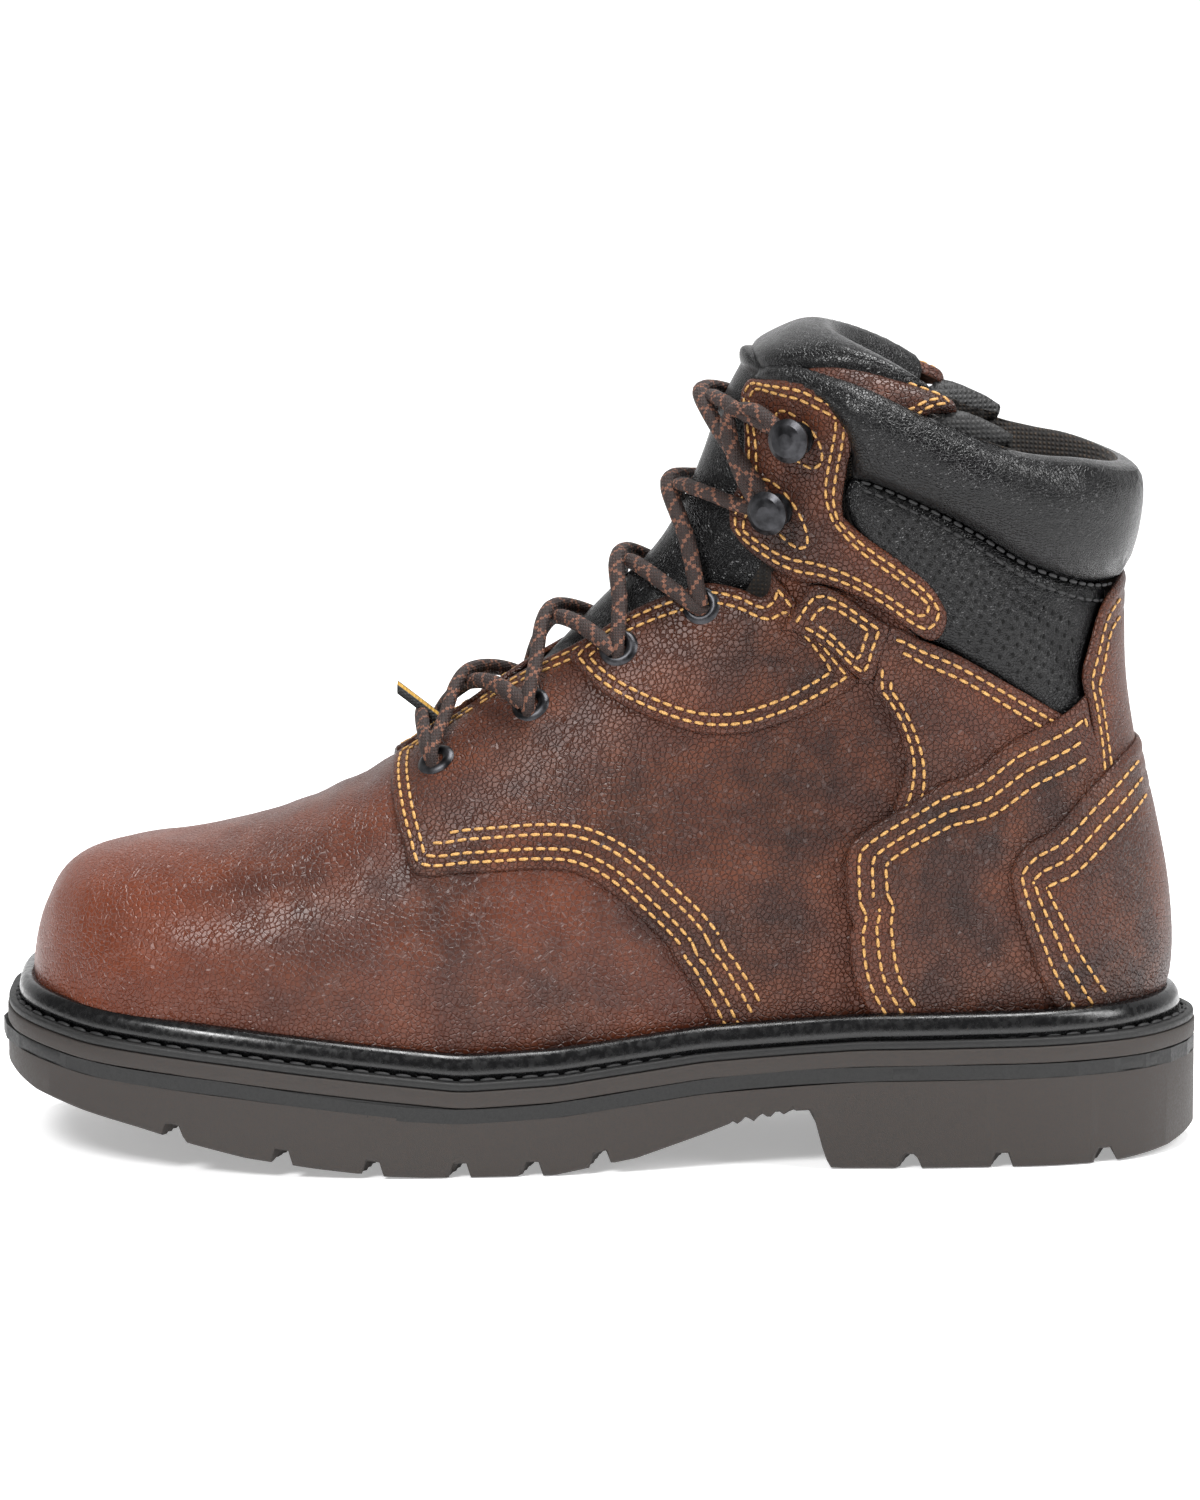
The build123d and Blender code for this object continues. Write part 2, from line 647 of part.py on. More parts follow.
def eyelet_at(seat, depth):
    """Rolled metal eyelet with its barrel reaching down through the leathers."""
    with BuildPart() as ring:
        with BuildSketch(Plane.XZ):
            with BuildLine():
                Line((EYELET_BORE, -depth), (EYELET_BARREL, -depth))
                Line((EYELET_BARREL, -depth), (EYELET_BARREL, 0))
                Line((EYELET_BARREL, 0), (EYELET_FLANGE, 0))
                Spline((EYELET_FLANGE, 0), (EYELET_FLANGE - 1.4, 0.9), (EYELET_BORE, 0.4))
                Line((EYELET_BORE, 0.4), (EYELET_BORE, -depth))
            make_face()
        revolve(axis=Axis.Z)
    return seat.location * ring.part


def hook_at(seat, depth):
    """Domed lace hook on a riveted post."""
    with BuildPart() as hook:
        with BuildSketch(Plane.XZ):
            with BuildLine():
                Polyline((0, -depth), (POST_RADIUS, -depth), (POST_RADIUS, 0), (HOOK_BASE, 0),
                         (HOOK_BASE, 0.7), (POST_RADIUS, 1.2), (POST_RADIUS, DOME_SEAT),
                         (DOME_RADIUS, DOME_SEAT), (DOME_RADIUS, DOME_SEAT + DOME_RISE * 0.3),
                         (DOME_RADIUS * 0.75, DOME_SEAT + DOME_RISE * 0.75),
                         (DOME_RADIUS * 0.35, DOME_SEAT + DOME_RISE), (0, DOME_SEAT + DOME_RISE),
                         (0, -depth))
            make_face()
        revolve(axis=Axis.Z)
    return seat.location * hook.part


with BuildPart() as eyelets:
    for side in (LATERAL, MEDIAL):
        for k, (t, angle) in enumerate(EYELETS):
            top = (QUARTER if k < 2 else STAY)[1] + SEAT_GAP
            add(eyelet_at(skin_location(t, side * angle, top), top - RIVET_END))
save(eyelets, "eyelets")

with BuildPart() as lace_hooks:
    for side in (LATERAL, MEDIAL):
        for t, angle in HOOKS:
            top = STAY[1] + SEAT_GAP
            add(hook_at(skin_location(t, side * angle, top), top - RIVET_END))
save(lace_hooks, "lace_hooks")


def faceted_cord(path, radius):
    """Cord with flat sides along a smooth path."""
    rings = []
    for k in range(CORD_RINGS + 1):
        here = path.position_at(k / CORD_RINGS)
        frame = Plane(origin=here, x_dir=(1, 0, 0), z_dir=path.tangent_at(k / CORD_RINGS))
        turns = [2 * np.pi * side / CORD_SIDES for side in range(CORD_SIDES)]
        rings.append([frame.from_local_coords((radius * cos(a), radius * sin(a))) for a in turns])
    triangles = []
    for near, far in zip(rings, rings[1:]):
        for side in range(CORD_SIDES):
            other = (side + 1) % CORD_SIDES
            triangles.append([near[side], near[other], far[side]])
            triangles.append([near[other], far[other], far[side]])
    for ring in (rings[0], rings[-1]):
        for side in range(1, CORD_SIDES - 1):
            triangles.append([ring[0], ring[side], ring[side + 1]])
    return faceted_solid(triangles)


def lace_bar(t, angle, seat_height, crest):
    """Lace from one side of the throat to the other, over the tongue."""
    ends = seat_height + LACE_RADIUS + 1.2
    shoulder = (ends + crest) / 2 + 0.6
    path = Edge.make_spline([
        skin_point(t, angle, ends), skin_point(t, (angle + 180) / 2, shoulder),
        skin_point(t, 180, crest), skin_point(t, -(angle + 180) / 2, shoulder),
        skin_point(t, -angle, ends),
    ])
    return faceted_cord(path, LACE_RADIUS)


with BuildPart() as laces:
    for k, (t, angle) in enumerate(EYELETS):
        top = (QUARTER if k < 2 else STAY)[1] + SEAT_GAP
        add(lace_bar(t, angle, top, LACE_CREST))
    for t, angle in HOOKS:
        add(lace_bar(t, angle + 9, STAY[1] + SEAT_GAP, LACE_CREST))
save(laces, "laces")

tag_axis = skin_point(EYELETS[0][0], 180, LACE_CREST)
tag_plane = Plane(origin=tag_axis, x_dir=(-cos(TAG_TILT), 0, -sin(TAG_TILT)), z_dir=(0, -1, 0))
with BuildPart() as lace_tag:
    with BuildSketch(tag_plane):
        Circle(TAG_LOOP + 0.7)
        Circle(TAG_LOOP - 0.7, mode=Mode.SUBTRACT)
    extrude(amount=1.0, both=True)
    with BuildSketch(tag_plane):
        with Locations((TAG_LOOP + TAG_LONG / 2, 0)):
            Rectangle(TAG_LONG, 1.3)
    extrude(amount=TAG_WIDE / 2, both=True)
save(lace_tag, "lace_tag")
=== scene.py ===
"""Looks of the steel toe work boot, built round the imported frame.

Metres in Blender, millimetres in the tables. The upper is described on the last, the form that
the boot is made on: a place is a station number t, from the toe (0) to the top of the shaft
(18), and an arc angle, 180 on the ridge and 0 at the back or underneath. Lateral angles are
positive. Every leather piece is cut on that surface and laid at its own height above it.
"""

import math

import bpy
import numpy as np
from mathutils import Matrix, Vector
from mathutils.geometry import delaunay_2d_cdt


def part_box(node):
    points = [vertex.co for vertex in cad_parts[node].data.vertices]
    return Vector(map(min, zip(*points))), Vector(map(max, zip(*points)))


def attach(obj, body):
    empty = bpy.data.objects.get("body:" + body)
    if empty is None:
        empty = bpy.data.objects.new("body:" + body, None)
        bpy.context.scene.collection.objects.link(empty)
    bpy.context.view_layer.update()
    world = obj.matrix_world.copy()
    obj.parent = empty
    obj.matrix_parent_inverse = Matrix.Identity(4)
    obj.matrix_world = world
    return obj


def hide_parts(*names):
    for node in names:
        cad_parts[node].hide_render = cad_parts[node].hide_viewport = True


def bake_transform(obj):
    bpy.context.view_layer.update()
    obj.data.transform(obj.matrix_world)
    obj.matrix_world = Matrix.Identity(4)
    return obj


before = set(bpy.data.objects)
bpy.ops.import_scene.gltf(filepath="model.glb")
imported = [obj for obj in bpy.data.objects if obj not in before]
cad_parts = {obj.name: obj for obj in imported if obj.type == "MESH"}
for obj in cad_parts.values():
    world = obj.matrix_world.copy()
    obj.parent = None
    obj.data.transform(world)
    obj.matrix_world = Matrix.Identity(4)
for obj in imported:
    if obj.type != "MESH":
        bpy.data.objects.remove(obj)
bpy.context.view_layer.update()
MM = 0.001
SIDES = ((1, "lateral"), (-1, "medial"))

# ------------------------------------------------------------------ the last
# front (x, z), back (x, z), half width, height share of the widest point, squareness below, above
LAST = np.array([
    (-146.6, 37.9, -113.0, 33.0, 42.0, 0.12, 7.0, 2.3),
    (-146.1, 49.0, -107.5, 31.2, 43.0, 0.14, 7.0, 2.25),
    (-143.4, 60.5, -106.0, 29.8, 43.5, 0.16, 7.0, 2.2),
    (-136.0, 71.2, -104.0, 29.0, 44.0, 0.20, 7.0, 2.3),
    (-121.0, 76.4, -101.0, 28.8, 44.5, 0.28, 7.0, 2.35),
    (-104.0, 78.9, -95.0, 28.3, 45.5, 0.33, 7.0, 2.3),
    (-85.0, 83.8, -84.0, 27.0, 46.3, 0.34, 7.0, 2.25),
    (-66.0, 91.4, -65.0, 25.2, 46.5, 0.32, 7.0, 2.2),
    (-42.0, 105.5, -36.0, 23.0, 44.0, 0.30, 7.0, 2.1),
    (-19.0, 122.5, 0.0, 24.6, 40.0, 0.28, 7.0, 2.0),
    (1.0, 138.0, 40.0, 29.6, 36.0, 0.28, 7.0, 2.0),
    (14.5, 150.0, 80.0, 31.6, 33.5, 0.30, 6.5, 2.0),
    (22.5, 161.0, 116.0, 32.0, 31.5, 0.34, 4.5, 2.1),
    (27.5, 171.5, 138.0, 38.5, 30.5, 0.40, 2.4, 2.2),
    (31.0, 181.0, 140.5, 62.0, 30.5, 0.46, 2.2, 2.3),
    (34.0, 189.0, 135.5, 90.0, 31.5, 0.50, 2.2, 2.4),
    (37.0, 196.0, 130.5, 118.0, 33.5, 0.50, 2.2, 2.4),
    (40.0, 201.5, 129.5, 147.0, 36.0, 0.50, 2.2, 2.4),
    (44.0, 206.0, 133.5, 177.0, 38.5, 0.50, 2.2, 2.4),
    (60.0, 213.0, 136.0, 176.0, 33.0, 0.50, 2.2, 2.4),
])
TOE_SWING = 8.0
TOE_BEND = -60
TOE_BEND_LONG = 87
HEEL_SWING = 1.5
HEEL_BEND = -20
HEEL_BEND_LONG = 130
TOP_STATION = len(LAST) - 1


def second_derivatives(rows):
    """Second derivatives of a natural cubic spline through evenly spaced rows."""
    count = len(rows)
    matrix = np.eye(count)
    right = np.zeros_like(rows)
    for i in range(1, count - 1):
        matrix[i, i - 1:i + 2] = (1 / 6, 4 / 6, 1 / 6)
        right[i] = rows[i + 1] - 2 * rows[i] + rows[i - 1]
    return np.linalg.solve(matrix, right)


BENDS = second_derivatives(LAST)


def station(t):
    """Measures of the last at stations t."""
    i = np.clip(np.floor(t).astype(int), 0, TOP_STATION - 1)
    after = (t - i)[..., None]
    before = 1 - after
    return (before * LAST[i] + after * LAST[i + 1]
            + ((before**3 - before) * BENDS[i] + (after**3 - after) * BENDS[i + 1]) / 6)


def middle_y(x):
    """Centre line of the last seen from above: it swings inwards at the toe and the heel."""
    toe = np.maximum(0, (TOE_BEND - x) / TOE_BEND_LONG)
    heel = np.clip((x - HEEL_BEND) / HEEL_BEND_LONG, 0, 1)
    return TOE_SWING * toe**2 + HEEL_SWING * heel


def section_point(t, theta, side):
    """Points of the last at section angle theta in radians; side is 1 lateral, -1 medial."""
    q = station(t)
    up = np.cos(theta)
    power = np.where(up > 0, q[..., 6], q[..., 7])
    rise = np.abs(up) ** (2 / power)
    share = q[..., 5]
    reach = np.where(up > 0, share - share * rise, share + (1 - share) * rise)
    x = q[..., 2] + (q[..., 0] - q[..., 2]) * reach
    z = q[..., 3] + (q[..., 1] - q[..., 3]) * reach
    y = middle_y(x) - side * q[..., 4] * np.abs(np.sin(theta)) ** (2 / power)
    return np.stack([x, y, z], -1)


# section angle for each station and arc angle, so that arc angles are evenly spread on the skin
TABLE_STEP = 0.05
TABLE_T = np.arange(0, TOP_STATION + TABLE_STEP / 2, TABLE_STEP)
TABLE_ARC = np.arange(0, 181)


def arc_table():
    """Section angle by station (rows) and whole arc degree (columns)."""
    theta = np.linspace(0, math.pi, 721)
    points = section_point(TABLE_T[:, None] + 0 * theta, theta[None, :] + 0 * TABLE_T[:, None], 1)
    steps = np.linalg.norm(np.diff(points, axis=1), axis=-1)
    length = np.concatenate([np.zeros((len(steps), 1)), np.cumsum(steps, axis=1)], axis=1)
    arcs = 180 * length / length[:, -1:]
    return np.array([np.interp(TABLE_ARC, row, theta) for row in arcs])


THETA = arc_table()


def bare_skin(t, arc):
    """Points of the last at station t and arc angle, in mm."""
    t = np.clip(np.asarray(t, float), 0, TOP_STATION - 1e-6)
    turn = np.mod(np.asarray(arc, float), 360)
    side = np.where(turn <= 180, 1, -1)
    turn = np.where(turn <= 180, turn, 360 - turn)
    row = t / TABLE_STEP
    i = np.clip(np.floor(row).astype(int), 0, len(TABLE_T) - 2)
    j = np.clip(np.floor(turn).astype(int), 0, 179)
    fi = row - i
    fj = turn - j
    theta = ((THETA[i, j] * (1 - fj) + THETA[i, j + 1] * fj) * (1 - fi)
             + (THETA[i + 1, j] * (1 - fj) + THETA[i + 1, j + 1] * fj) * fi)
    return section_point(t, theta, side)


def skin_normal(t, arc, reach=0.06, turn=1.2):
    """Outward normals of the last, from points a little way along and across it."""
    along = bare_skin(t + reach, arc) - bare_skin(np.maximum(t - reach, 0), arc)
    across = bare_skin(t, arc + turn) - bare_skin(t, arc - turn)
    normal = np.cross(along, across)
    return normal / (np.linalg.norm(normal, axis=-1, keepdims=True) + 1e-9)


def ramp(value, start, end):
    """Smooth step from 0 at start to 1 at end."""
    share = np.clip((value - start) / (end - start), 0, 1)
    return share * share * (3 - 2 * share)


def waviness(t, arc):
    """Unevenness of worn leather in mm: low lumps, flex creases at the ball, ankle folds."""
    off_ridge = np.abs(np.mod(arc, 360) - 180)
    off_back = np.abs(np.mod(arc + 180, 360) - 180)
    lumps = 0.22 * np.sin(2.1 * t + 0.05 * arc) * np.sin(0.09 * arc + 0.7 * t)
    lumps += 0.12 * np.sin(5.3 * t + 1.0) * np.sin(0.21 * arc)
    ball = np.exp(-((t - 7.3) / 0.9) ** 2) * ramp(off_ridge, 90, 30)
    creases = 0.35 * np.sin(11.0 * t + 0.06 * off_ridge) * ball
    ankle = np.exp(-((t - 13.5) / 1.2) ** 2)
    folds = 0.4 * np.sin(0.22 * arc + 2.4 * t) * ankle * ramp(off_back, 40, 80)
    calm = 1 - 0.75 * ramp(off_ridge, 62, 48) * ramp(t, 7.2, 8.0) * ramp(t, 18.0, 17.0)
    return (lumps + creases + folds) * calm


def skin(t, arc, height):
    """Points above the last in metres, unevenness included."""
    t = np.asarray(t, float)
    arc = np.asarray(arc, float)
    lift = np.asarray(height, float) + waviness(t, arc)
    return (bare_skin(t, arc) + skin_normal(t, arc) * lift[..., None]) * MM


# ------------------------------------------------------------------ cutting pieces on the last
def run_along(points):
    """Length from the first of a row of points to each of them."""
    return np.concatenate([[0], np.cumsum(np.linalg.norm(np.diff(points, axis=0), axis=1))])


ARC_MM = 0.85           # millimetres per arc degree, on average
FLANK_ARC = 110.0       # the line along the side of the last that lengths are measured on
RUN_MM = run_along(bare_skin(TABLE_T, np.full_like(TABLE_T, FLANK_ARC)))


def to_flat(points):
    """Station and arc angle to flat millimetres."""
    points = np.asarray(points, float)
    return np.stack([np.interp(points[..., 0], TABLE_T, RUN_MM), points[..., 1] * ARC_MM], -1)


def from_flat(flat):
    """Flat millimetres back to station and arc angle."""
    return np.interp(flat[..., 0], RUN_MM, TABLE_T), flat[..., 1] / ARC_MM


SHARP_TURN = 0.45       # cosine of the turn past which an outline keeps its corner
OUTLINE_STEP = 1.3


def rounded(points, step=OUTLINE_STEP, closed=True):
    """Smooth curve through flat points, and where each of them is on it; sharp corners stay."""
    points = np.asarray(points, float)
    count = len(points)
    out = []
    ends = []
    for i in range(count if closed else count - 1):
        a, b = points[i], points[(i + 1) % count]
        tangents = []
        for here, before, after in ((i, i - 1, i + 1), (i + 1, i, i + 2)):
            p = points[here % count]
            q0 = points[before % count] if closed or before >= 0 else p
            q1 = points[after % count] if closed or after < count else p
            d0, d1 = p - q0, q1 - p
            n0, n1 = np.linalg.norm(d0) + 1e-9, np.linalg.norm(d1) + 1e-9
            sharp = np.dot(d0, d1) / (n0 * n1) < SHARP_TURN
            length = np.linalg.norm(b - a)
            smooth = (d0 / n0 + d1 / n1)
            smooth = smooth / (np.linalg.norm(smooth) + 1e-9) * length
            tangents.append((b - a) if sharp else smooth)
        pieces = max(1, int(round(np.linalg.norm(b - a) / step)))
        ends.append(len(out))
        for k in range(pieces):
            s = k / pieces
            h00, h10 = 2 * s**3 - 3 * s**2 + 1, s**3 - 2 * s**2 + s
            h01, h11 = -2 * s**3 + 3 * s**2, s**3 - s**2
            out.append(h00 * a + h10 * tangents[0] + h01 * b + h11 * tangents[1])
    if not closed:
        out.append(points[-1])
    ends.append(len(out))
    return np.array(out), ends


DISTANCE_BATCH = 800    # points measured at once


def edge_distance(points, loop):
    """Distance from each point to a closed loop."""
    a = loop
    b = np.roll(loop, -1, axis=0)
    best = np.full(len(points), 1e9)
    ab = b - a
    length = (ab**2).sum(1) + 1e-12
    for start in range(0, len(points), DISTANCE_BATCH):
        batch = slice(start, start + DISTANCE_BATCH)
        p = points[batch, None, :]
        share = np.clip(((p - a) * ab).sum(-1) / length, 0, 1)
        gap = np.linalg.norm(p - (a + ab * share[..., None]), axis=-1)
        best[batch] = gap.min(1)
    return best


def inside(points, loop):
    """Which points lie inside a closed loop."""
    x, y = points[:, 0], points[:, 1]
    result = np.zeros(len(points), bool)
    for (x0, y0), (x1, y1) in zip(loop, np.roll(loop, -1, axis=0)):
        cross = (y0 > y) != (y1 > y)
        at = (x1 - x0) * (y - y0) / ((y1 - y0) + 1e-12) + x0
        result ^= cross & (x < at)
    return result


def loop_area(loop):
    """Signed area of a closed loop."""
    nxt = np.roll(loop, -1, axis=0)
    return 0.5 * float((loop[:, 0] * nxt[:, 1] - nxt[:, 0] * loop[:, 1]).sum())


def inward(loop, distance):
    """A loop moved inwards, and which of its points still keep that distance."""
    along = np.roll(loop, -1, axis=0) - np.roll(loop, 1, axis=0)
    along /= np.linalg.norm(along, axis=1, keepdims=True) + 1e-9
    normal = np.stack([-along[:, 1], along[:, 0]], 1) * math.copysign(1, loop_area(loop))
    moved = loop + normal * distance
    return moved, edge_distance(moved, loop) > 0.9 * distance


ROW_PITCH = 0.87        # gap between rows of a triangular grid, over the gap in a row
CLEAR_PITCH = 0.6       # gap between the grid and the innermost ring, over the gap in a row


def fill_loop(loop, pitch, rings):
    """Triangles over the inside of a loop, with rows of points at the given distances from it."""
    parts = [loop]
    for distance in rings:
        moved, good = inward(loop, distance)
        moved = moved[good]
        if len(moved):
            parts.append(moved[inside(moved, loop)])
    low, high = loop.min(0), loop.max(0)
    xs = np.arange(low[0], high[0], pitch)
    ys = np.arange(low[1], high[1], pitch * ROW_PITCH)
    grid = np.array([(x + (k % 2) * pitch / 2, y) for k, y in enumerate(ys) for x in xs])
    if len(grid):
        grid = grid[inside(grid, loop)]
    if len(grid):
        grid = grid[edge_distance(grid, loop) > max(rings) + pitch * CLEAR_PITCH]
        parts.append(grid)
    points = np.concatenate(parts)
    count = len(loop)
    edges = [(k, (k + 1) % count) for k in range(count)]
    result = delaunay_2d_cdt([Vector(p) for p in points], edges, [list(range(count))], 1, 1e-5)
    flat = np.array([tuple(v) for v in result[0]])
    faces = [tuple(f) for f in result[2]]
    return flat, faces


def boundary(faces):
    """Directed edges that only one face uses."""
    seen = {(a, b) for face in faces for a, b in zip(face, face[1:] + face[:1])}
    return [(a, b) for face in faces for a, b in zip(face, face[1:] + face[:1]) if (b, a) not in seen]


def closed_shell(faces, count):
    """Faces, their copies on a second layer of count points, and the wall between the layers."""
    back = [tuple(k + count for k in reversed(f)) for f in faces]
    wall = [(b, a, a + count, b + count) for a, b in boundary(faces)]
    return faces + back + wall


def ring_faces(rings, sides, joined=False):
    """Quads between neighbouring rings of points; joined adds those from the last to the first."""
    return [(r * sides + k, r * sides + j, n * sides + j, n * sides + k)
            for r, n in zip(range(rings), [*range(1, rings)] + [0] * joined)
            for k, j in zip(range(sides), [*range(1, sides), 0])]


def tube_faces(rings, sides):
    """Quads between the rings of a tube, and its two ends."""
    ends = [tuple(reversed(range(sides))), tuple((rings - 1) * sides + k for k in range(sides))]
    return ring_faces(rings, sides) + ends


def add_object(name, data):
    """New object in the scene."""
    obj = bpy.data.objects.new(name, data)
    bpy.context.scene.collection.objects.link(obj)
    return obj


def mesh_object(name, points, faces, materials, picks=None, body="boot", node=None):
    """Smooth mesh from points in metres, riding on a body and standing for a CAD node."""
    mesh = bpy.data.meshes.new(name)
    mesh.from_pydata([tuple(p) for p in points], [], faces)
    for material in materials:
        mesh.materials.append(material)
    if picks is not None:
        mesh.polygons.foreach_set("material_index", picks)
    mesh.polygons.foreach_set("use_smooth", [True] * len(mesh.polygons))
    mesh.validate()
    mesh.update()
    obj = add_object(name, mesh)
    if body:
        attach(obj, body)
    if node:
        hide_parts(node)
    return obj


EDGE_RINGS = (0.4, 1.0)
EDGE_ROUND = 0.55       # share of the thickness that the rounded edge drops
EDGE_THICK = 1.6        # thickest edge that is rounded as a whole
GROOVE_DEEP = 0.28      # how far the stitches pull the leather in
GROOVE_WIDE = 0.55
GROOVE_SIDE = 0.6       # from the middle of a groove to the points that shape its sides


def cut_piece(name, outline, layer, materials, rows=(), puff=None, pitch=2.2, belly=None,
              stitch_part=None, thread=None, body="boot", node=None, stitch_rows=None):
    """Lay one piece on the last between two heights, with rounded edges and sewn grooves.

    rows are the distances of the grooves from the edge; stitch_part and stitch_rows say where sew
    puts thread, if not all round them. puff and belly give extra height outside and inside from
    distance to the edge, station and arc.
    """
    low, top = layer
    loop, ends = rounded(to_flat(outline))
    rings = list(EDGE_RINGS)
    for row in rows:
        rings += [row - GROOVE_SIDE, row, row + GROOVE_SIDE]
    flat, faces = fill_loop(loop, pitch, sorted(set(round(r, 2) for r in rings if r > 0.3)))
    distance = edge_distance(flat, loop)
    t, arc = from_flat(flat)
    height = top - EDGE_ROUND * min(top - low, EDGE_THICK) * (1 - np.clip(distance / 1.0, 0, 1)) ** 2
    for row in rows:
        height -= GROOVE_DEEP * np.exp(-((distance - row) / GROOVE_WIDE) ** 2)
    under = np.full(len(flat), float(low))
    if puff:
        height += puff(distance, t, arc)
    if belly:
        under -= belly(distance, t, arc)
    outer = skin(t, arc, height)
    inner = skin(t, arc, under)
    sample = faces[len(faces) // 2]
    a, b, c = (outer[k] for k in sample)
    facing = np.dot(np.cross(b - a, c - a), skin_normal(t[[sample[0]]], arc[[sample[0]]])[0])
    if facing < 0:
        faces = [tuple(reversed(f)) for f in faces]
    shell = closed_shell(faces, len(flat))
    picks = np.zeros(len(shell), int)
    picks[len(faces):2 * len(faces)] = len(materials) - 1
    obj = mesh_object(name, np.concatenate([outer, inner]), shell, materials, picks, body, node)
    if thread:
        sew(f"{name}_stitching", loop, ends, stitch_part, stitch_rows or rows, top, thread, body, puff)
    return obj


STITCH_PITCH = 3.1
STITCH_LONG = 2.45
STITCH_START = 0.4
STITCH_SINK = 0.12
THREAD_WIDE = 0.42
THREAD_FLAT = 0.72      # height of a stitch over its width
THREAD_SIDES = 6
CAPSULE = [(-0.5, 0.1), (-0.42, 0.75), (-0.15, 1.0), (0.15, 1.0), (0.42, 0.75), (0.5, 0.1)]


def sew(name, loop, ends, parts, rows, top, thread, body, puff=None):
    """Rows of stitches along a loop; a part is (first outline point, last one, its own rows)."""
    spots = []
    for first, last, *own_rows in parts or [(0, len(ends) - 1)]:
        for row in own_rows or rows:
            moved, good = inward(loop, row)
            chosen = slice(ends[first], ends[last] + 1)
            line = moved[chosen][good[chosen]]
            if len(line) > 3:
                spots.append(stitch_spots(line, top, puff, loop))
    if spots:
        build_stitches(name, np.concatenate(spots), thread, body)


def stitch_spots(line, top, puff=None, loop=None):
    """Start, end and height of each stitch along a flat line."""
    run = run_along(bare_skin(*from_flat(line)))
    spots = []
    for start in np.arange(STITCH_START, run[-1] - STITCH_LONG, STITCH_PITCH):
        ends = [[np.interp(s, run, line[:, 0]), np.interp(s, run, line[:, 1])]
                for s in (start, start + STITCH_LONG)]
        height = top - STITCH_SINK
        if puff is not None:
            t, arc = from_flat(np.array([ends[0]]))
            height += float(puff(edge_distance(np.array([ends[0]]), loop), t, arc)[0])
        spots.append([*ends[0], *ends[1], height])
    return np.array(spots).reshape(-1, 5)


def build_stitches(name, spots, thread, body, width=THREAD_WIDE):
    """One mesh of spindles between flat start and end points."""
    t0, arc0 = from_flat(spots[:, 0:2])
    t1, arc1 = from_flat(spots[:, 2:4])
    start = skin(t0, arc0, spots[:, 4])
    stop = skin(t1, arc1, spots[:, 4])
    normal = skin_normal((t0 + t1) / 2, (arc0 + arc1) / 2)
    spindles(name, start, stop, normal, thread, body, width)


def spindles(name, start, stop, normal, thread, body, width=THREAD_WIDE, node=None):
    """Closed spindles from start to stop, lying flat against the surface under them."""
    along = stop - start
    across = np.cross(normal, along)
    across /= np.linalg.norm(across, axis=1, keepdims=True) + 1e-12
    points = []
    for share, fat in CAPSULE:
        centre = (start + stop) / 2 + along * share + normal * (fat * 0.16 * MM)
        for k in range(THREAD_SIDES):
            turn = 2 * math.pi * k / THREAD_SIDES
            ring = across * math.cos(turn) * width * fat + normal * math.sin(turn) * width * THREAD_FLAT * fat
            points.append(centre + ring * MM)
    points = np.stack(points, 1)
    count, per = points.shape[:2]
    one = tube_faces(len(CAPSULE), THREAD_SIDES)
    faces = [tuple(n * per + k for k in face) for n in range(count) for face in one]
    mesh_object(name, points.reshape(-1, 3), faces, [thread], None, body, node)


def on_side(outline, side):
    """A lateral outline, or its medial copy."""
    return [(t, side * arc) for t, arc in outline]


def both_sides(name, outline, layer, materials, **options):
    """Cut the lateral and the medial copy of a piece that stands for name_lateral and name_medial."""
    for side, label in SIDES:
        cut_piece(f"{name}_{label}_skin", on_side(outline, side), layer, materials, node=f"{name}_{label}",
                  **options)


# ------------------------------------------------------------------ materials
def feed(tree, socket, value):
    """Link another node's output to an input, or set the input's value."""
    if isinstance(value, bpy.types.NodeSocket):
        tree.links.new(value, socket)
    else:
        socket.default_value = value


def new_material(name):
    """Empty node material: its tree, shader and a helper that adds linked nodes."""
    material = bpy.data.materials.new(name)
    material.use_nodes = True
    tree = material.node_tree
    shader = tree.nodes["Principled BSDF"]
    place = tree.nodes.new("ShaderNodeTexCoord").outputs["Object"]

    def node(kind, inputs, **settings):
        made = tree.nodes.new(kind)
        for key, value in settings.items():
            setattr(made, key, value)
        for key, value in inputs.items():
            feed(tree, made.inputs[key], value)
        return made

    return material, tree, shader, place, node


def noise(node, place, scale, detail=3.0):
    """Noise value at a scale per metre."""
    return node("ShaderNodeTexNoise", {"Vector": place, "Scale": scale, "Detail": detail}).outputs["Fac"]


def mix(node, share, first, second):
    """Mix of two colours."""
    return node("ShaderNodeMixRGB", {"Fac": share, "Color1": first, "Color2": second}).outputs["Color"]


def rgb(red, green, blue):
    """Colour from display values 0 to 255, made linear."""
    return (*(((v / 255 + 0.055) / 1.055) ** 2.4 if v > 10 else v / 3294 for v in (red, green, blue)), 1)


def stretch(node, value, low, high):
    """Value spread from low..high to 0..1."""
    inputs = {"Value": value, "From Min": low, "From Max": high}
    return node("ShaderNodeMapRange", inputs).outputs["Result"]


def calculate(node, operation, first, second):
    """Result of a sum or a product of two values."""
    return node("ShaderNodeMath", {0: first, 1: second}, operation=operation).outputs[0]


def finish_surface(tree, shader, node, colour, rough, heights):
    """Link colour, roughness and bump; heights are (value, distance in mm) from coarse to fine."""
    feed(tree, shader.inputs["Base Color"], colour)
    feed(tree, shader.inputs["Roughness"], rough)
    normal = None
    for value, distance in heights:
        inputs = {"Height": value, "Distance": distance * MM, "Strength": 1.0}
        if normal is not None:
            inputs["Normal"] = normal
        normal = node("ShaderNodeBump", inputs).outputs["Normal"]
    if normal is not None:
        tree.links.new(normal, shader.inputs["Normal"])


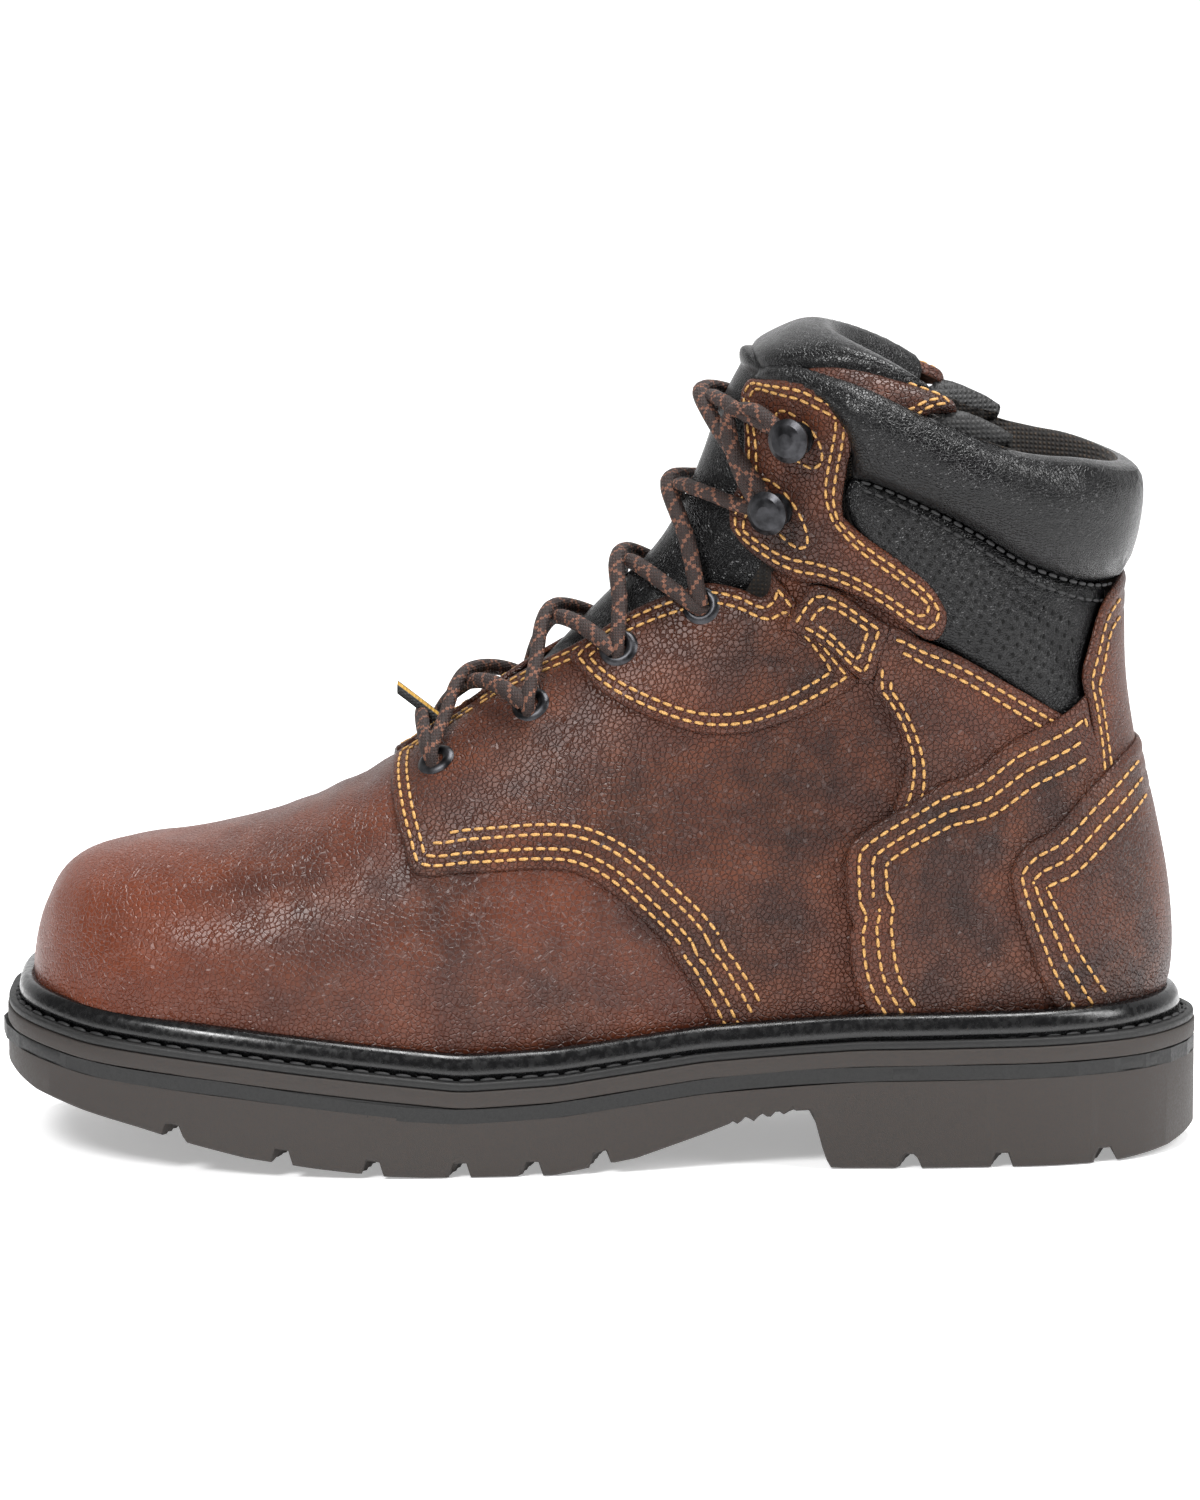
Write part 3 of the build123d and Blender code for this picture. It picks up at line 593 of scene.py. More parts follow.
TOE_RED = (116, 50, 21)
PATCH_SHARE = 0.45      # how far the lighter patches cover
PORES = 2400            # per metre
PORE_DEEP = 0.03


def leather_material(name, dark, mid, light, rough, pebble, depth, toe_glow=0.0, shine=0.4, wrinkle=0.0):
    """Waxed leather: mottled colour, pebbled grain with painted shade darkening its creases, finer pores;
    glow is a redder polished toe.
    """
    material, tree, shader, place, node = new_material(name)
    cloud = stretch(node, noise(node, place, 28, 4), 0.36, 0.66)
    patch = stretch(node, noise(node, place, 90, 5), 0.42, 0.72)
    colour = mix(node, cloud, rgb(*dark), rgb(*mid))
    colour = mix(node, calculate(node, "MULTIPLY", patch, PATCH_SHARE), colour, rgb(*light))
    cells = node("ShaderNodeTexVoronoi", {"Vector": place, "Scale": pebble, "Randomness": 1.0},
                 feature="DISTANCE_TO_EDGE").outputs["Distance"]
    crease = stretch(node, cells, 0.0, 0.16)
    # painted shade: the creases between the pebbles of the grain are darkened towards the dark colour
    colour = mix(node, stretch(node, crease, 1.0, -1.4), colour, rgb(*dark))
    if toe_glow:
        along = node("ShaderNodeSeparateXYZ", {"Vector": place}).outputs["X"]
        share = calculate(node, "MULTIPLY", stretch(node, along, -0.07, -0.15), toe_glow)
        colour = mix(node, share, colour, rgb(*TOE_RED))
    spread = calculate(node, "MULTIPLY", stretch(node, cloud, -3.0, 4.0), 0.25)
    roughness = calculate(node, "ADD", spread, rough - 0.12)
    bumps = [(noise(node, place, 210, 4), depth * 0.5 + wrinkle), (crease, depth),
             (noise(node, place, PORES, 2), PORE_DEEP)]
    finish_surface(tree, shader, node, colour, roughness, bumps)
    shader.inputs["Specular IOR Level"].default_value = shine
    return material


WAVE_PITCH = 0.314      # scale of Blender's wave texture times the pitch of its bands in metres


def woven_material(name, first, second, pitch, depth, rough):
    """Plain weave: two sets of ribs crossing, with uneven yarns."""
    material, tree, shader, place, node = new_material(name)
    ribs = []
    for direction in ("X", "Z"):
        inputs = {"Vector": place, "Scale": WAVE_PITCH / pitch, "Distortion": 1.2}
        ribs.append(node("ShaderNodeTexWave", inputs, bands_direction=direction).outputs["Fac"])
    weave = calculate(node, "MULTIPLY", *ribs)
    uneven = stretch(node, noise(node, place, 500, 4), 0.35, 0.65)
    colour = mix(node, weave, rgb(*first), rgb(*second))
    colour = mix(node, uneven, colour, rgb(*first))
    finish_surface(tree, shader, node, colour, rough, [(weave, depth), (uneven, depth * 0.4)])
    return material


def plain_material(name, dark, light, scale, rough, depth, metallic=0.0):
    """Speckled solid colour: rubber, board, cork, foam, metal."""
    material, tree, shader, place, node = new_material(name)
    speck = stretch(node, noise(node, place, scale, 6), 0.38, 0.64)
    colour = mix(node, speck, rgb(*dark), rgb(*light))
    shader.inputs["Metallic"].default_value = metallic
    roughness = calculate(node, "ADD", calculate(node, "MULTIPLY", speck, 0.15), rough)
    finish_surface(tree, shader, node, colour, roughness, [(noise(node, place, scale * 3, 4), depth)])
    return material


# leathers: dark, middle and light colour, roughness, grain per metre and its depth in mm
LEATHER = leather_material("brown_leather", (42, 20, 13), (78, 37, 20), (108, 58, 33), 0.44, 780, 0.36)
VAMP_LEATHER = leather_material("vamp_leather", (46, 21, 13), (82, 37, 19), (108, 56, 32), 0.38, 780, 0.17,
                                toe_glow=0.65)
BLACK_LEATHER = leather_material("black_leather", (5, 5, 6), (9, 9, 10), (14, 14, 15), 0.27, 1300, 0.08,
                                 shine=0.3, wrinkle=0.3)
# plain ones: dark and light colour, specks per metre, roughness, depth in mm, metallic
FLESH = plain_material("leather_back", (62, 42, 32), (86, 60, 44), 900, 0.85, 0.1)
SOLE_RUBBER = plain_material("sole_rubber", (35, 30, 27), (47, 40, 36), 1400, 0.6, 0.05)
BLACK_RUBBER = plain_material("black_rubber", (6, 6, 6), (12, 12, 12), 1200, 0.5, 0.04)
BEAD_BLACK = plain_material("bead_black", (4, 4, 5), (9, 9, 10), 600, 0.18, 0.02)
GOLD_THREAD = plain_material("gold_thread", (150, 108, 56), (206, 160, 92), 2600, 0.55, 0.05)
BLACK_THREAD = plain_material("black_thread", (12, 12, 13), (24, 24, 25), 2600, 0.55, 0.05)
# painted shade: the near black colour stands for the shade inside the collar's punched holes
HOLE_SHADE = plain_material("hole_shade", (1, 1, 1), (3, 3, 3), 900, 0.95, 0.02)
FOAM = plain_material("foam", (196, 186, 150), (214, 204, 170), 1500, 0.95, 0.3)
BOARD = plain_material("board", (150, 120, 84), (176, 146, 106), 500, 0.9, 0.1)
CORK = plain_material("cork", (120, 82, 52), (168, 124, 82), 700, 0.95, 0.4)
STEEL = plain_material("steel", (110, 112, 116), (150, 152, 156), 300, 0.3, 0.02, 1.0)
GUNMETAL = plain_material("gunmetal", (38, 38, 40), (66, 66, 69), 300, 0.28, 0.03, 0.9)
FELT = plain_material("felt", (22, 18, 16), (36, 30, 26), 1500, 0.95, 0.2)
# woven ones: dark and light colour, pitch of the weave, depth in mm, roughness
NYLON = woven_material("ballistic_nylon", (12, 12, 13), (44, 43, 42), 1.3 * MM, 0.25, 0.6)
MESH = woven_material("mesh_lining", (14, 11, 9), (62, 48, 34), 1.1 * MM, 0.3, 0.9)
LACE_BROWN = woven_material("lace_brown", (30, 17, 13), (62, 36, 28), 0.7 * MM, 0.2, 0.75)
LACE_TAN = woven_material("lace_tan", (96, 60, 44), (146, 100, 78), 0.7 * MM, 0.2, 0.75)
TAG = woven_material("tag_webbing", (168, 124, 20), (212, 168, 40), 0.8 * MM, 0.2, 0.7)
TAG_DARK = woven_material("tag_dark", (14, 14, 14), (38, 38, 38), 0.8 * MM, 0.2, 0.7)

# ------------------------------------------------------------------ the sole
# outlines seen from above (x, y), then lines seen from the side (x, z)
FOOTPRINT = [
    (-155, 8), (-150.5, -22), (-135, -39), (-105, -51), (-70, -55.5), (-30, -54), (10, -48.5),
    (50, -43.5), (90, -42.5), (122, -38), (143, -26), (155, 1.5), (143, 29), (122, 41.5), (90, 45),
    (50, 44), (10, 47), (-30, 52.5), (-70, 55.5), (-105, 55), (-135, 49), (-150.5, 36),
]
UPPER_OUTLINE = [
    (-148.9, 8), (-145, -18.7), (-132, -33), (-105, -44.4), (-70, -48.9), (-30, -47.7), (10, -43.2),
    (50, -39), (90, -37.6), (118, -33.7), (136, -23.9), (147.9, 1.5), (136, 26.9), (118, 36.8),
    (90, 39.6), (70, 40.4), (50, 39.3), (10, 41.7), (-30, 46.4), (-70, 49.1), (-105, 48.5),
    (-132, 43.4), (-145, 33.5),
]
WELT_LINE = np.array([
    (-160, 37.5), (-132, 32.3), (-94, 28.8), (-36, 22.2), (-11, 23.4), (26, 28.4), (67, 30.9),
    (107, 31.3), (160, 32),
])
GROUND_LINE = np.array([
    (-156, 22.5), (-146, 17.9), (-133, 14.6), (-119, 11.6), (-104, 7.8), (-91, 4.9), (-73, 2.4), (-55, 0.4),
    (-45, 0), (-12, 0), (9, 3.8), (26, 9.5), (34, 12.5), (48, 15.0), (54, 15.2), (57, 4.0), (58.5, 0.2),
    (62, 0), (132, 0), (147, 1.6), (160, 5.5),
])
BLACK_FOOT = -8.2       # heights above the welt seat
STRIP_FOOT = -4.4
WELT_THICK = 2.2
UPPER_FOOT = 3.2
LAYER_GAP = 0.05
BEAD = [(2.4, 2.0), (2.4, 5.0), (1.8, 8.0), (0.0, 8.8), (-1.7, 8.3), (-2.8, 6.8), (-3.2, 4.4), (-3.0, 2.0)]
NOTCHES = (-108.5, -80, -57, -35, -17, 0, 78, 101.5, 127)
NOTCH_HALF = 2.3
NOTCH_DEEP = 3.6
NOTCH_LEAN = 0.22       # how far a groove runs back for each millimetre inwards
SERRATIONS = (33, 49)
SERRATION_PITCH = 4.0
SERRATION_DEEP = 0.9
SOLE_EDGE = 0.9         # width of the rounded lower edge


def smooth_line(table, x):
    """Height along a side-view line, rounded a little at its corners."""
    shifts = np.array([-3, -1.5, 0, 1.5, 3])
    return np.mean([np.interp(np.asarray(x) + s, table[:, 0], table[:, 1]) for s in shifts], axis=0)


def welt_z(x):
    """Seat of the welt."""
    return smooth_line(WELT_LINE, x)


def ground_z(x, y):
    """Underside of the sole with its tread."""
    z = np.interp(x, GROUND_LINE[:, 0], GROUND_LINE[:, 1])
    saw = np.abs(np.mod(x - SERRATIONS[0], SERRATION_PITCH) - SERRATION_PITCH / 2) - 1.0
    z += np.where((x > SERRATIONS[0]) & (x < SERRATIONS[1]), SERRATION_DEEP * saw, 0)
    reach = np.abs(y - middle_y(x))
    for at in NOTCHES:
        middle = at + NOTCH_LEAN * (48 - reach)
        cut = ramp(np.abs(x - middle), NOTCH_HALF + 0.5, NOTCH_HALF - 0.5) * ramp(reach, 7, 9)
        z += NOTCH_DEEP * cut
    spine = ramp(reach, 3.2, 2.4) * ((x < -20) & (x > -125) | (x > 66) & (x < 140))
    return z + 0.7 * NOTCH_DEEP * spine


def sole_ring(name, outline, profile, material, node=None):
    """Profile swept round an outline; each corner is (moved inwards, height above the welt seat)."""
    loop = rounded(outline, 1.4)[0]
    rings = []
    for inset, height in profile:
        moved = inward(loop, inset)[0]
        rings.append(np.column_stack([moved, welt_z(moved[:, 0]) + height]))
    faces = ring_faces(len(profile), len(loop), joined=True)
    if loop_area(loop) < 0:
        faces = [tuple(reversed(f)) for f in faces]
    mesh_object(name, np.concatenate(rings) * MM, faces, [material], node=node)


def round_rect(inset, wide, low, high, radius):
    """Profile of a strip with rounded outer corners, going round from the outer foot."""
    return [(inset + radius, low), (inset + 0.3 * radius, low + 0.3 * radius), (inset, low + radius),
            (inset, high - radius), (inset + 0.3 * radius, high - 0.3 * radius), (inset + radius, high),
            (inset + wide, high), (inset + wide, low)][::-1]


def build_sole():
    """Outsole, two midsole layers, welt, bead and welt stitching."""
    loop = rounded(FOOTPRINT, 1.1)[0]
    flat, faces = fill_loop(loop, 1.9, (0.5, 1.2))
    edge = np.clip(edge_distance(flat, loop) / SOLE_EDGE, 0, 1)
    low = ground_z(flat[:, 0], flat[:, 1]) + 0.7 * (1 - edge) ** 2
    high = welt_z(flat[:, 0]) + BLACK_FOOT - LAYER_GAP
    bottom = np.column_stack([flat, np.minimum(low, high - 1)])
    top = np.column_stack([flat, high])
    faces = [tuple(reversed(f)) for f in faces] if face_up(flat, faces) else faces
    obj = mesh_object("outsole_skin", np.concatenate([bottom, top]) * MM, closed_shell(faces, len(flat)),
                      [SOLE_RUBBER], node="outsole")
    obj.data.set_sharp_from_angle(angle=math.radians(38))
    black = round_rect(0.25, 12, BLACK_FOOT, STRIP_FOOT, 0.5)
    strip = round_rect(-0.1, 12.5, STRIP_FOOT + 0.1, -LAYER_GAP, 0.5)
    sole_ring("midsole_black_skin", FOOTPRINT, black, BLACK_RUBBER)
    sole_ring("midsole_rim_skin", FOOTPRINT, strip, SOLE_RUBBER, "midsole_rim")
    sole_ring("welt_skin", FOOTPRINT, round_rect(0.2, 8.0, 0.0, WELT_THICK, 0.6), BLACK_RUBBER, "welt")
    sole_ring("welt_bead_skin", UPPER_OUTLINE, BEAD, BEAD_BLACK, "welt_bead")
    welt_stitches()


def face_up(flat, faces):
    """Whether flat faces wind anticlockwise."""
    a, b, c = (flat[k] for k in faces[0][:3])
    return (b[0] - a[0]) * (c[1] - a[1]) - (b[1] - a[1]) * (c[0] - a[0]) > 0


WELT_STITCH_INSET = 2.6
WELT_STITCH_PITCH = 5.4
WELT_STITCH_LONG = 4.2
WELT_THREAD_WIDE = 0.75


def welt_stitches():
    """Lockstitch round the top of the welt."""
    moved = inward(rounded(FOOTPRINT, 1.0)[0], WELT_STITCH_INSET)[0]
    run = run_along(moved)
    starts = np.arange(0, run[-1] - 4, WELT_STITCH_PITCH)
    ends = []
    for shift in (0, WELT_STITCH_LONG):
        x = np.interp(starts + shift, run, moved[:, 0])
        y = np.interp(starts + shift, run, moved[:, 1])
        ends.append(np.column_stack([x, y, welt_z(x) + WELT_THICK + LAYER_GAP]) * MM)
    up = np.tile([0, 0, 1.0], (len(starts), 1))
    spindles("welt_stitching_skin", *ends, up, BLACK_THREAD, "boot", WELT_THREAD_WIDE, "welt_stitching")


# ------------------------------------------------------------------ outlines on the last (station, arc)
def foot_arc(t):
    """Arc angle where the lateral leather meets the top of the welt at station t."""
    arcs = np.linspace(0, 180, 361)
    points = bare_skin(np.full_like(arcs, t), arcs)
    above = points[:, 2] > welt_z(points[:, 0]) + UPPER_FOOT
    return float(arcs[np.argmax(above)]) if above.any() else 179.0


def foot_run(stations):
    """Lower edge of the lateral upper through some stations."""
    return [(t, foot_arc(t)) for t in stations]


def arc_at(t, degrees):
    """Arc angle of a section angle."""
    row = THETA[int(round(t / TABLE_STEP))]
    return float(np.interp(math.radians(degrees), row, TABLE_ARC))


THROAT = [(8.52, 175), (8.98, 172.5), (9.43, 169), (10.2, 165.5), (11.59, 160), (11.86, 157.5),
          (12.25, 151.5), (12.48, 146.5), (12.72, 145.5), (13.08, 146.5)]
QUARTER_FRONT = [(7.55, 162), (7.57, 141), (7.63, 127.5), (7.7, 118.5), (8.21, 113), (8.81, 107),
                 (9.06, 103), (9.27, 96), (9.5, 82.5), (9.64, 72), (9.74, 54)]
FACING = [(16.24, 164.5), (16.97, 160.5), (17.69, 141), (17.77, 129), (17.73, 121.5), (17.63, 119.5),
          (17.23, 118.5), (16.45, 120.5), (15.72, 122), (15.5, 121.5), (15.48, 115.5), (15.6, 100.5),
          (15.6, 88), (15.43, 83.5), (15.25, 84), (14.77, 90.5), (14.5, 107.5), (14.23, 119.5),
          (13.88, 129.5), (13.51, 137), (13.26, 143.5), (13.06, 150.5), (12.95, 156.5), (12.99, 161),
          (13.34, 162.5), (14.01, 160.5), (14.75, 159), (15.5, 160), (15.97, 163.5)]
STRAP = [(12.39, 138), (12.95, 137.5), (13.78, 131.5), (14.34, 106.5), (13.7, 110), (13.12, 113),
         (12.95, 125.5), (12.56, 136)]
EYESTAY_LOWER = [(9.5, 164), (9.72, 148.5), (10.12, 135), (10.55, 126), (10.97, 122), (11.61, 120),
                 (12.31, 118.5), (13.01, 115)]
ANKLE = [(14.3, 107), (14.59, 95.5), (14.9, 82), (15.21, 56.5), (15.33, 40), (14.6, 38), (13.5, 55),
         (12.6, 72), (12.0, 80), (12.04, 88.5), (12.41, 93), (12.77, 97), (13.01, 102.5), (13.1, 111),
         (13.7, 111.5)]
HEEL_OVERLAY_FRONT = [(11.44, 86), (11.34, 84), (11.23, 79.5), (10.99, 64.5), (10.82, 48)]
HEEL_OVERLAY_TOP = [(15.35, 30.5), (15.72, 32), (15.3, 42), (14.9, 52), (14.36, 64), (13.5, 77), (12.7, 87)]
COUNTER_TOP = [(15.43, 12.5), (14.67, 35), (13.75, 51), (13.22, 59), (12.87, 60), (12.64, 55.5),
               (12.37, 44), (12.25, 36)]
STRIP_FRONT = [(17.01, 13.5), (16.78, 23), (16.3, 29), (15.89, 32.5), (15.62, 31), (15.17, 30.5), (14.77, 32)]
ROLL_SEAM = [(16.99, 15), (16.86, 41), (16.8, 56.5), (16.82, 74), (16.74, 94), (16.53, 111.5), (16.35, 118.5)]
ROLL_FRONT = [(17.2, 121.5), (17.5, 131), (17.4, 142), (16.9, 159)]
ROLL_TOP = [(17.1, 163), (17.62, 157.5), (17.97, 145.5), (18.08, 131.5), (18.1, 117.5), (18.0, 99.5),
            (17.9, 80.5), (17.88, 68), (17.95, 54), (18.05, 42), (18.1, 20)]
COLLAR_FOAM = [(17.05, 20), (16.95, 60), (16.95, 95), (17.1, 110), (17.7, 110), (17.75, 70), (17.9, 20)]
COLLAR_PANEL = [(14.4, 101), (14.75, 88), (15.0, 70), (15.15, 50), (15.15, 33), (15.5, 28), (16.2, 25),
                (16.7, 16)] + ROLL_SEAM + [(15.9, 122), (15.3, 118), (14.9, 112)]
SHAFT_LINING = [(12, 151), (13, 152), (14, 153), (15, 155), (16, 158), (17, 155), (17.8, 140), (17.95, 110),
                (17.9, 80), (17.9, 50), (18, 20), (18, 1.5), (15, 1.5), (13.2, 1.5), (12.6, 20), (12, 40),
                (11, 60), (10.5, 100), (11, 140)]
GUSSET = [(8.6, 170), (10, 163), (12, 152), (13.5, 150), (15, 150), (15, 128), (13.5, 130), (12, 134),
          (10, 142), (8.8, 150)]
TONGUE_BAND = [(17.2, 150), (17.9, 149), (18.5, 147), (18.72, 129), (18.76, 113), (18.72, 98), (18.5, 93),
               (18.2, 97), (17.8, 100), (17.4, 112)]
TONGUE_WING = [(17.3, 108), (17.8, 98), (18.2, 95), (18.62, 99), (18.85, 93), (18.8, 80), (18.5, 70),
               (18.0, 66), (17.7, 72), (17.3, 90)]
TONGUE_TOP = [(17.3, 180), (17.4, 152), (17.9, 140), (18.35, 128), (18.6, 112), (18.85, 108), (18.97, 122),
              (18.97, 165)]
BACK = 0
RIDGE = 180

# heights above the last of each layer's inner and outer face
LINING_LAYER = (-1.5, -0.3)
VAMP_LAYER = (0.2, 1.9)
COLLAR_LAYER = (0.3, 1.9)
QUARTER_LAYER = (1.9, 3.5)
STAY_LAYER = (3.5, 4.9)
FACING_LAYER = (3.6, 5.0)
STRIP_LAYER = (4.8, 6.3)
OVERLAY_LAYER = (4.9, 6.3)
STRAP_LAYER = (4.9, 6.2)
COUNTER_LAYER = (6.4, 7.8)
ROLL_LAYER = (-0.6, 1.6)
FOAM_LAYER = (-0.4, 1.4)
TONGUE_LAYER = (-4.8, -3.6)
TONGUE_TOP_LAYER = (-7.5, -1.6)
TONGUE_BAND_LAYER = (-3.0, -0.4)
TONGUE_WING_LAYER = (-6.6, -4.2)
TONGUE_LINING_LAYER = (-9.9, -8.9)
GUSSET_LAYER = (-2.9, -2.0)


def wrap_over(half, line):
    """Closed outline over the back or the ridge: a lateral half and its mirror image."""
    return half + [(t, 2 * line - arc) for t, arc in reversed(half) if arc != line]


def round_over(rise, run):
    """Pillow height: a quarter circle from the edge."""
    def height(distance, t, arc):
        share = np.clip(distance / run, 0, 1)
        return rise * np.sqrt(1 - (1 - share) ** 2)
    return height


PANEL_PUFF = round_over(2.2, 14)


def build_upper():
    """Leathers from the toe to the heel, in the order they're sewn."""
    brown = [LEATHER, FLESH]
    gold = {"thread": GOLD_THREAD}
    toe = foot_run((0.05, 0.2, 0.4, 0.7, 1, 1.5, 2, 3, 4, 5, 6, 7, 8, 9, 9.9))
    under = [(9.9, 70), (9.6, 90), (9.3, 103), (8.9, 112), (8.3, 121), (7.95, 128), (7.9, 150), (7.95, 180)]
    vamp = wrap_over(toe + under, RIDGE)
    cut_piece("vamp_skin", vamp, VAMP_LAYER, [VAMP_LEATHER, FLESH], node="vamp", pitch=2.6)

    back = [(15.1, 3.0), (14, 3.0), (13, 3.0)]
    heel_foot = foot_run((12.3, 12, 11.5, 11, 10.5, 10, 9.85))
    under_panels = [(13.6, 140), (14.1, 126), (14.55, 108), (14.6, 90), (14.9, 70), (15.1, 45)]
    quarter = THROAT + under_panels + back + heel_foot + QUARTER_FRONT[::-1] + [(7.6, 175.5)]
    front = len(quarter) - 1 - len(QUARTER_FRONT)
    corner = front + 7
    two = (2.4, 4.8)
    runs = [(front - 1, corner, *two, 8.2, 10.6), (corner, len(quarter), *two), (0, 9, *two)]
    both_sides("quarter", quarter, QUARTER_LAYER, brown, rows=two, stitch_part=runs, **gold)

    eyestay = THROAT[3:] + EYESTAY_LOWER[::-1]
    both_sides("eyestay", eyestay, STAY_LAYER, brown, rows=(2.2, 4.6), **gold)
    both_sides("ankle_panel", ANKLE, STAY_LAYER, brown, rows=(2.4, 5.0), stitch_part=[(0, 4), (9, 14)],
               **gold)
    overlay_foot = foot_run((12.4, 12.1, 11.7, 11.3, 10.85))
    overlay = overlay_foot[-1:] + HEEL_OVERLAY_FRONT[::-1] + HEEL_OVERLAY_TOP[::-1]
    overlay = overlay + [(15.0, 24), (14, 24), (13, 24), (12.6, 24)] + overlay_foot[:-1]
    three = (2.4, 5.0, 7.6)
    both_sides("heel_overlay", overlay, OVERLAY_LAYER, brown, rows=three, stitch_part=[(0, 12)], **gold)
    both_sides("hook_facing", FACING, FACING_LAYER, brown, rows=(2.3, 4.7), **gold)
    both_sides("strap_patch", STRAP, STRAP_LAYER, brown, rows=(2.0,), stitch_rows=(2.0, 4.2), **gold)

    both_sides("collar_panel", COLLAR_PANEL, COLLAR_LAYER, [BLACK_LEATHER, FLESH], puff=PANEL_PUFF)
    strip = wrap_over(STRIP_FRONT + [(14.6, 26)], BACK)
    cut_piece("back_strip_skin", strip, STRIP_LAYER, brown, rows=(2.2, 4.6), node="back_strip",
              stitch_part=[(0, 6), (9, 15)], **gold)
    counter = wrap_over(COUNTER_TOP + foot_run((12.25, 12.4)) + [(12.6, 8)], BACK)
    cut_piece("heel_counter_skin", counter, COUNTER_LAYER, brown, rows=three, node="heel_counter",
              stitch_part=[(0, 8), (12, 20)], **gold)


def ring_stitches(name, t, arc):
    """Circle of stitches round a hook."""
    turns = np.linspace(0, 2 * math.pi, 41)
    circle = np.column_stack([np.cos(turns), np.sin(turns)])
    line = to_flat([(t, arc)])[0] + HOOK_RING_RADIUS * circle
    build_stitches(name, stitch_spots(line, HOOK_RING_TOP), GOLD_THREAD, "boot")


ROLL_SEAM_TOP = 4.1
ROLL_THREAD_WIDE = 0.5
ROLL_RISE = 6.8
ROLL_RISE_FRONT = 3.6


def build_collar():
    """Padded roll, perforations and the linings seen inside the shaft."""
    roll = wrap_over(ROLL_SEAM + ROLL_FRONT + ROLL_TOP, BACK)
    cut_piece("collar_roll_skin", roll, ROLL_LAYER, [BLACK_LEATHER, MESH], node="collar_roll",
              puff=roll_height, belly=round_over(3.5, 9), pitch=2.0)
    cut_piece("collar_foam_skin", wrap_over(COLLAR_FOAM, BACK), FOAM_LAYER, [FOAM], node="collar_foam",
              puff=round_over(3.5, 6), pitch=4.0)
    both_sides("quarter_lining", SHAFT_LINING, LINING_LAYER, [MESH, MESH], pitch=4.0)
    seam = rounded(to_flat([(t - 0.06, arc) for t, arc in ROLL_SEAM]), closed=False)[0]
    for side, label in SIDES:
        for k, away in enumerate((-1.2, 0.9)):
            spots = stitch_spots(seam * (1, side) + (away, 0), ROLL_SEAM_TOP)
            build_stitches(f"roll_seam_{label}_{k}", spots, BLACK_THREAD, "boot", ROLL_THREAD_WIDE)
        perforations(side, label)


def roll_height(distance, t, arc):
    """Height of the padded roll: full at the back and sides, thinner above the facing."""
    turn = np.abs(np.mod(arc + 180, 360) - 180)
    rise = ROLL_RISE - (ROLL_RISE - ROLL_RISE_FRONT) * ramp(turn, 112, 150)
    puckers = 0.25 * np.sin(turn * 1.9 + 3 * t) * ramp(distance, 5, 1)
    share = np.clip(distance / 7.5, 0, 1)
    return rise * np.sqrt(1 - (1 - share) ** 2) + puckers


HOLE_ROWS = 9
HOLES_A_ROW = 26
HOLE_ROW_GAP = 0.17     # stations
HOLE_GAP = 3.4          # arc degrees
HOLE_HALF = 0.4
LOWEST_HOLE = ([30, 50, 75, 100], [15.55, 15.45, 15.2, 15.0])    # arc angles, stations


def perforations(side, label):
    """Rows of punched holes in the lower collar, shown as small dimples painted near black as the shade
    inside the holes.
    """
    spots = []
    for row in range(HOLE_ROWS):
        for k in range(HOLES_A_ROW):
            t = 16.45 - HOLE_ROW_GAP * row
            arc = 108 - HOLE_GAP * k - HOLE_GAP / 2 * (row % 2)
            if arc > 34 and t > np.interp(arc, *LOWEST_HOLE):
                spots.append((t, side * arc))
    flat = to_flat(np.array(spots))
    loop = rounded(to_flat(on_side(COLLAR_PANEL, side)))[0]
    height = 1.85 + PANEL_PUFF(edge_distance(flat, loop), None, None)
    lines = np.column_stack([flat - (HOLE_HALF, 0), flat + (HOLE_HALF, 0), height])
    # the holes are painted shade laid on the panel, not openings
    build_stitches(f"perforations_{label}", lines, HOLE_SHADE, "boot")


# half width of the tongue at its stations, as a section angle
TONGUE_HALF = {7.8: 20, 8.5: 27, 9: 29, 10: 32, 11: 35, 12: 39, 13: 44, 14: 49, 15: 55, 16: 63, 17: 71,
               18: 79}


def tongue_edge(first, last, inset=0.0):
    """Lateral edge of the tongue from one station to another."""
    return [(t, arc_at(t, 180 - half) + inset) for t, half in TONGUE_HALF.items() if first <= t <= last]


def tongue_height(distance, t, arc):
    """Crest of the tongue: it bulges between the laces and is padded at the top."""
    off = np.abs(np.mod(arc, 360) - 180)
    crest = 6.5 * np.exp(-(off / 24) ** 2) * ramp(t, 8.2, 10.5)
    pad = 2.6 * ramp(t, 16.8, 17.8) * ramp(distance, 0, 6)
    return crest + pad + 1.4 * ramp(distance, 0, 5)


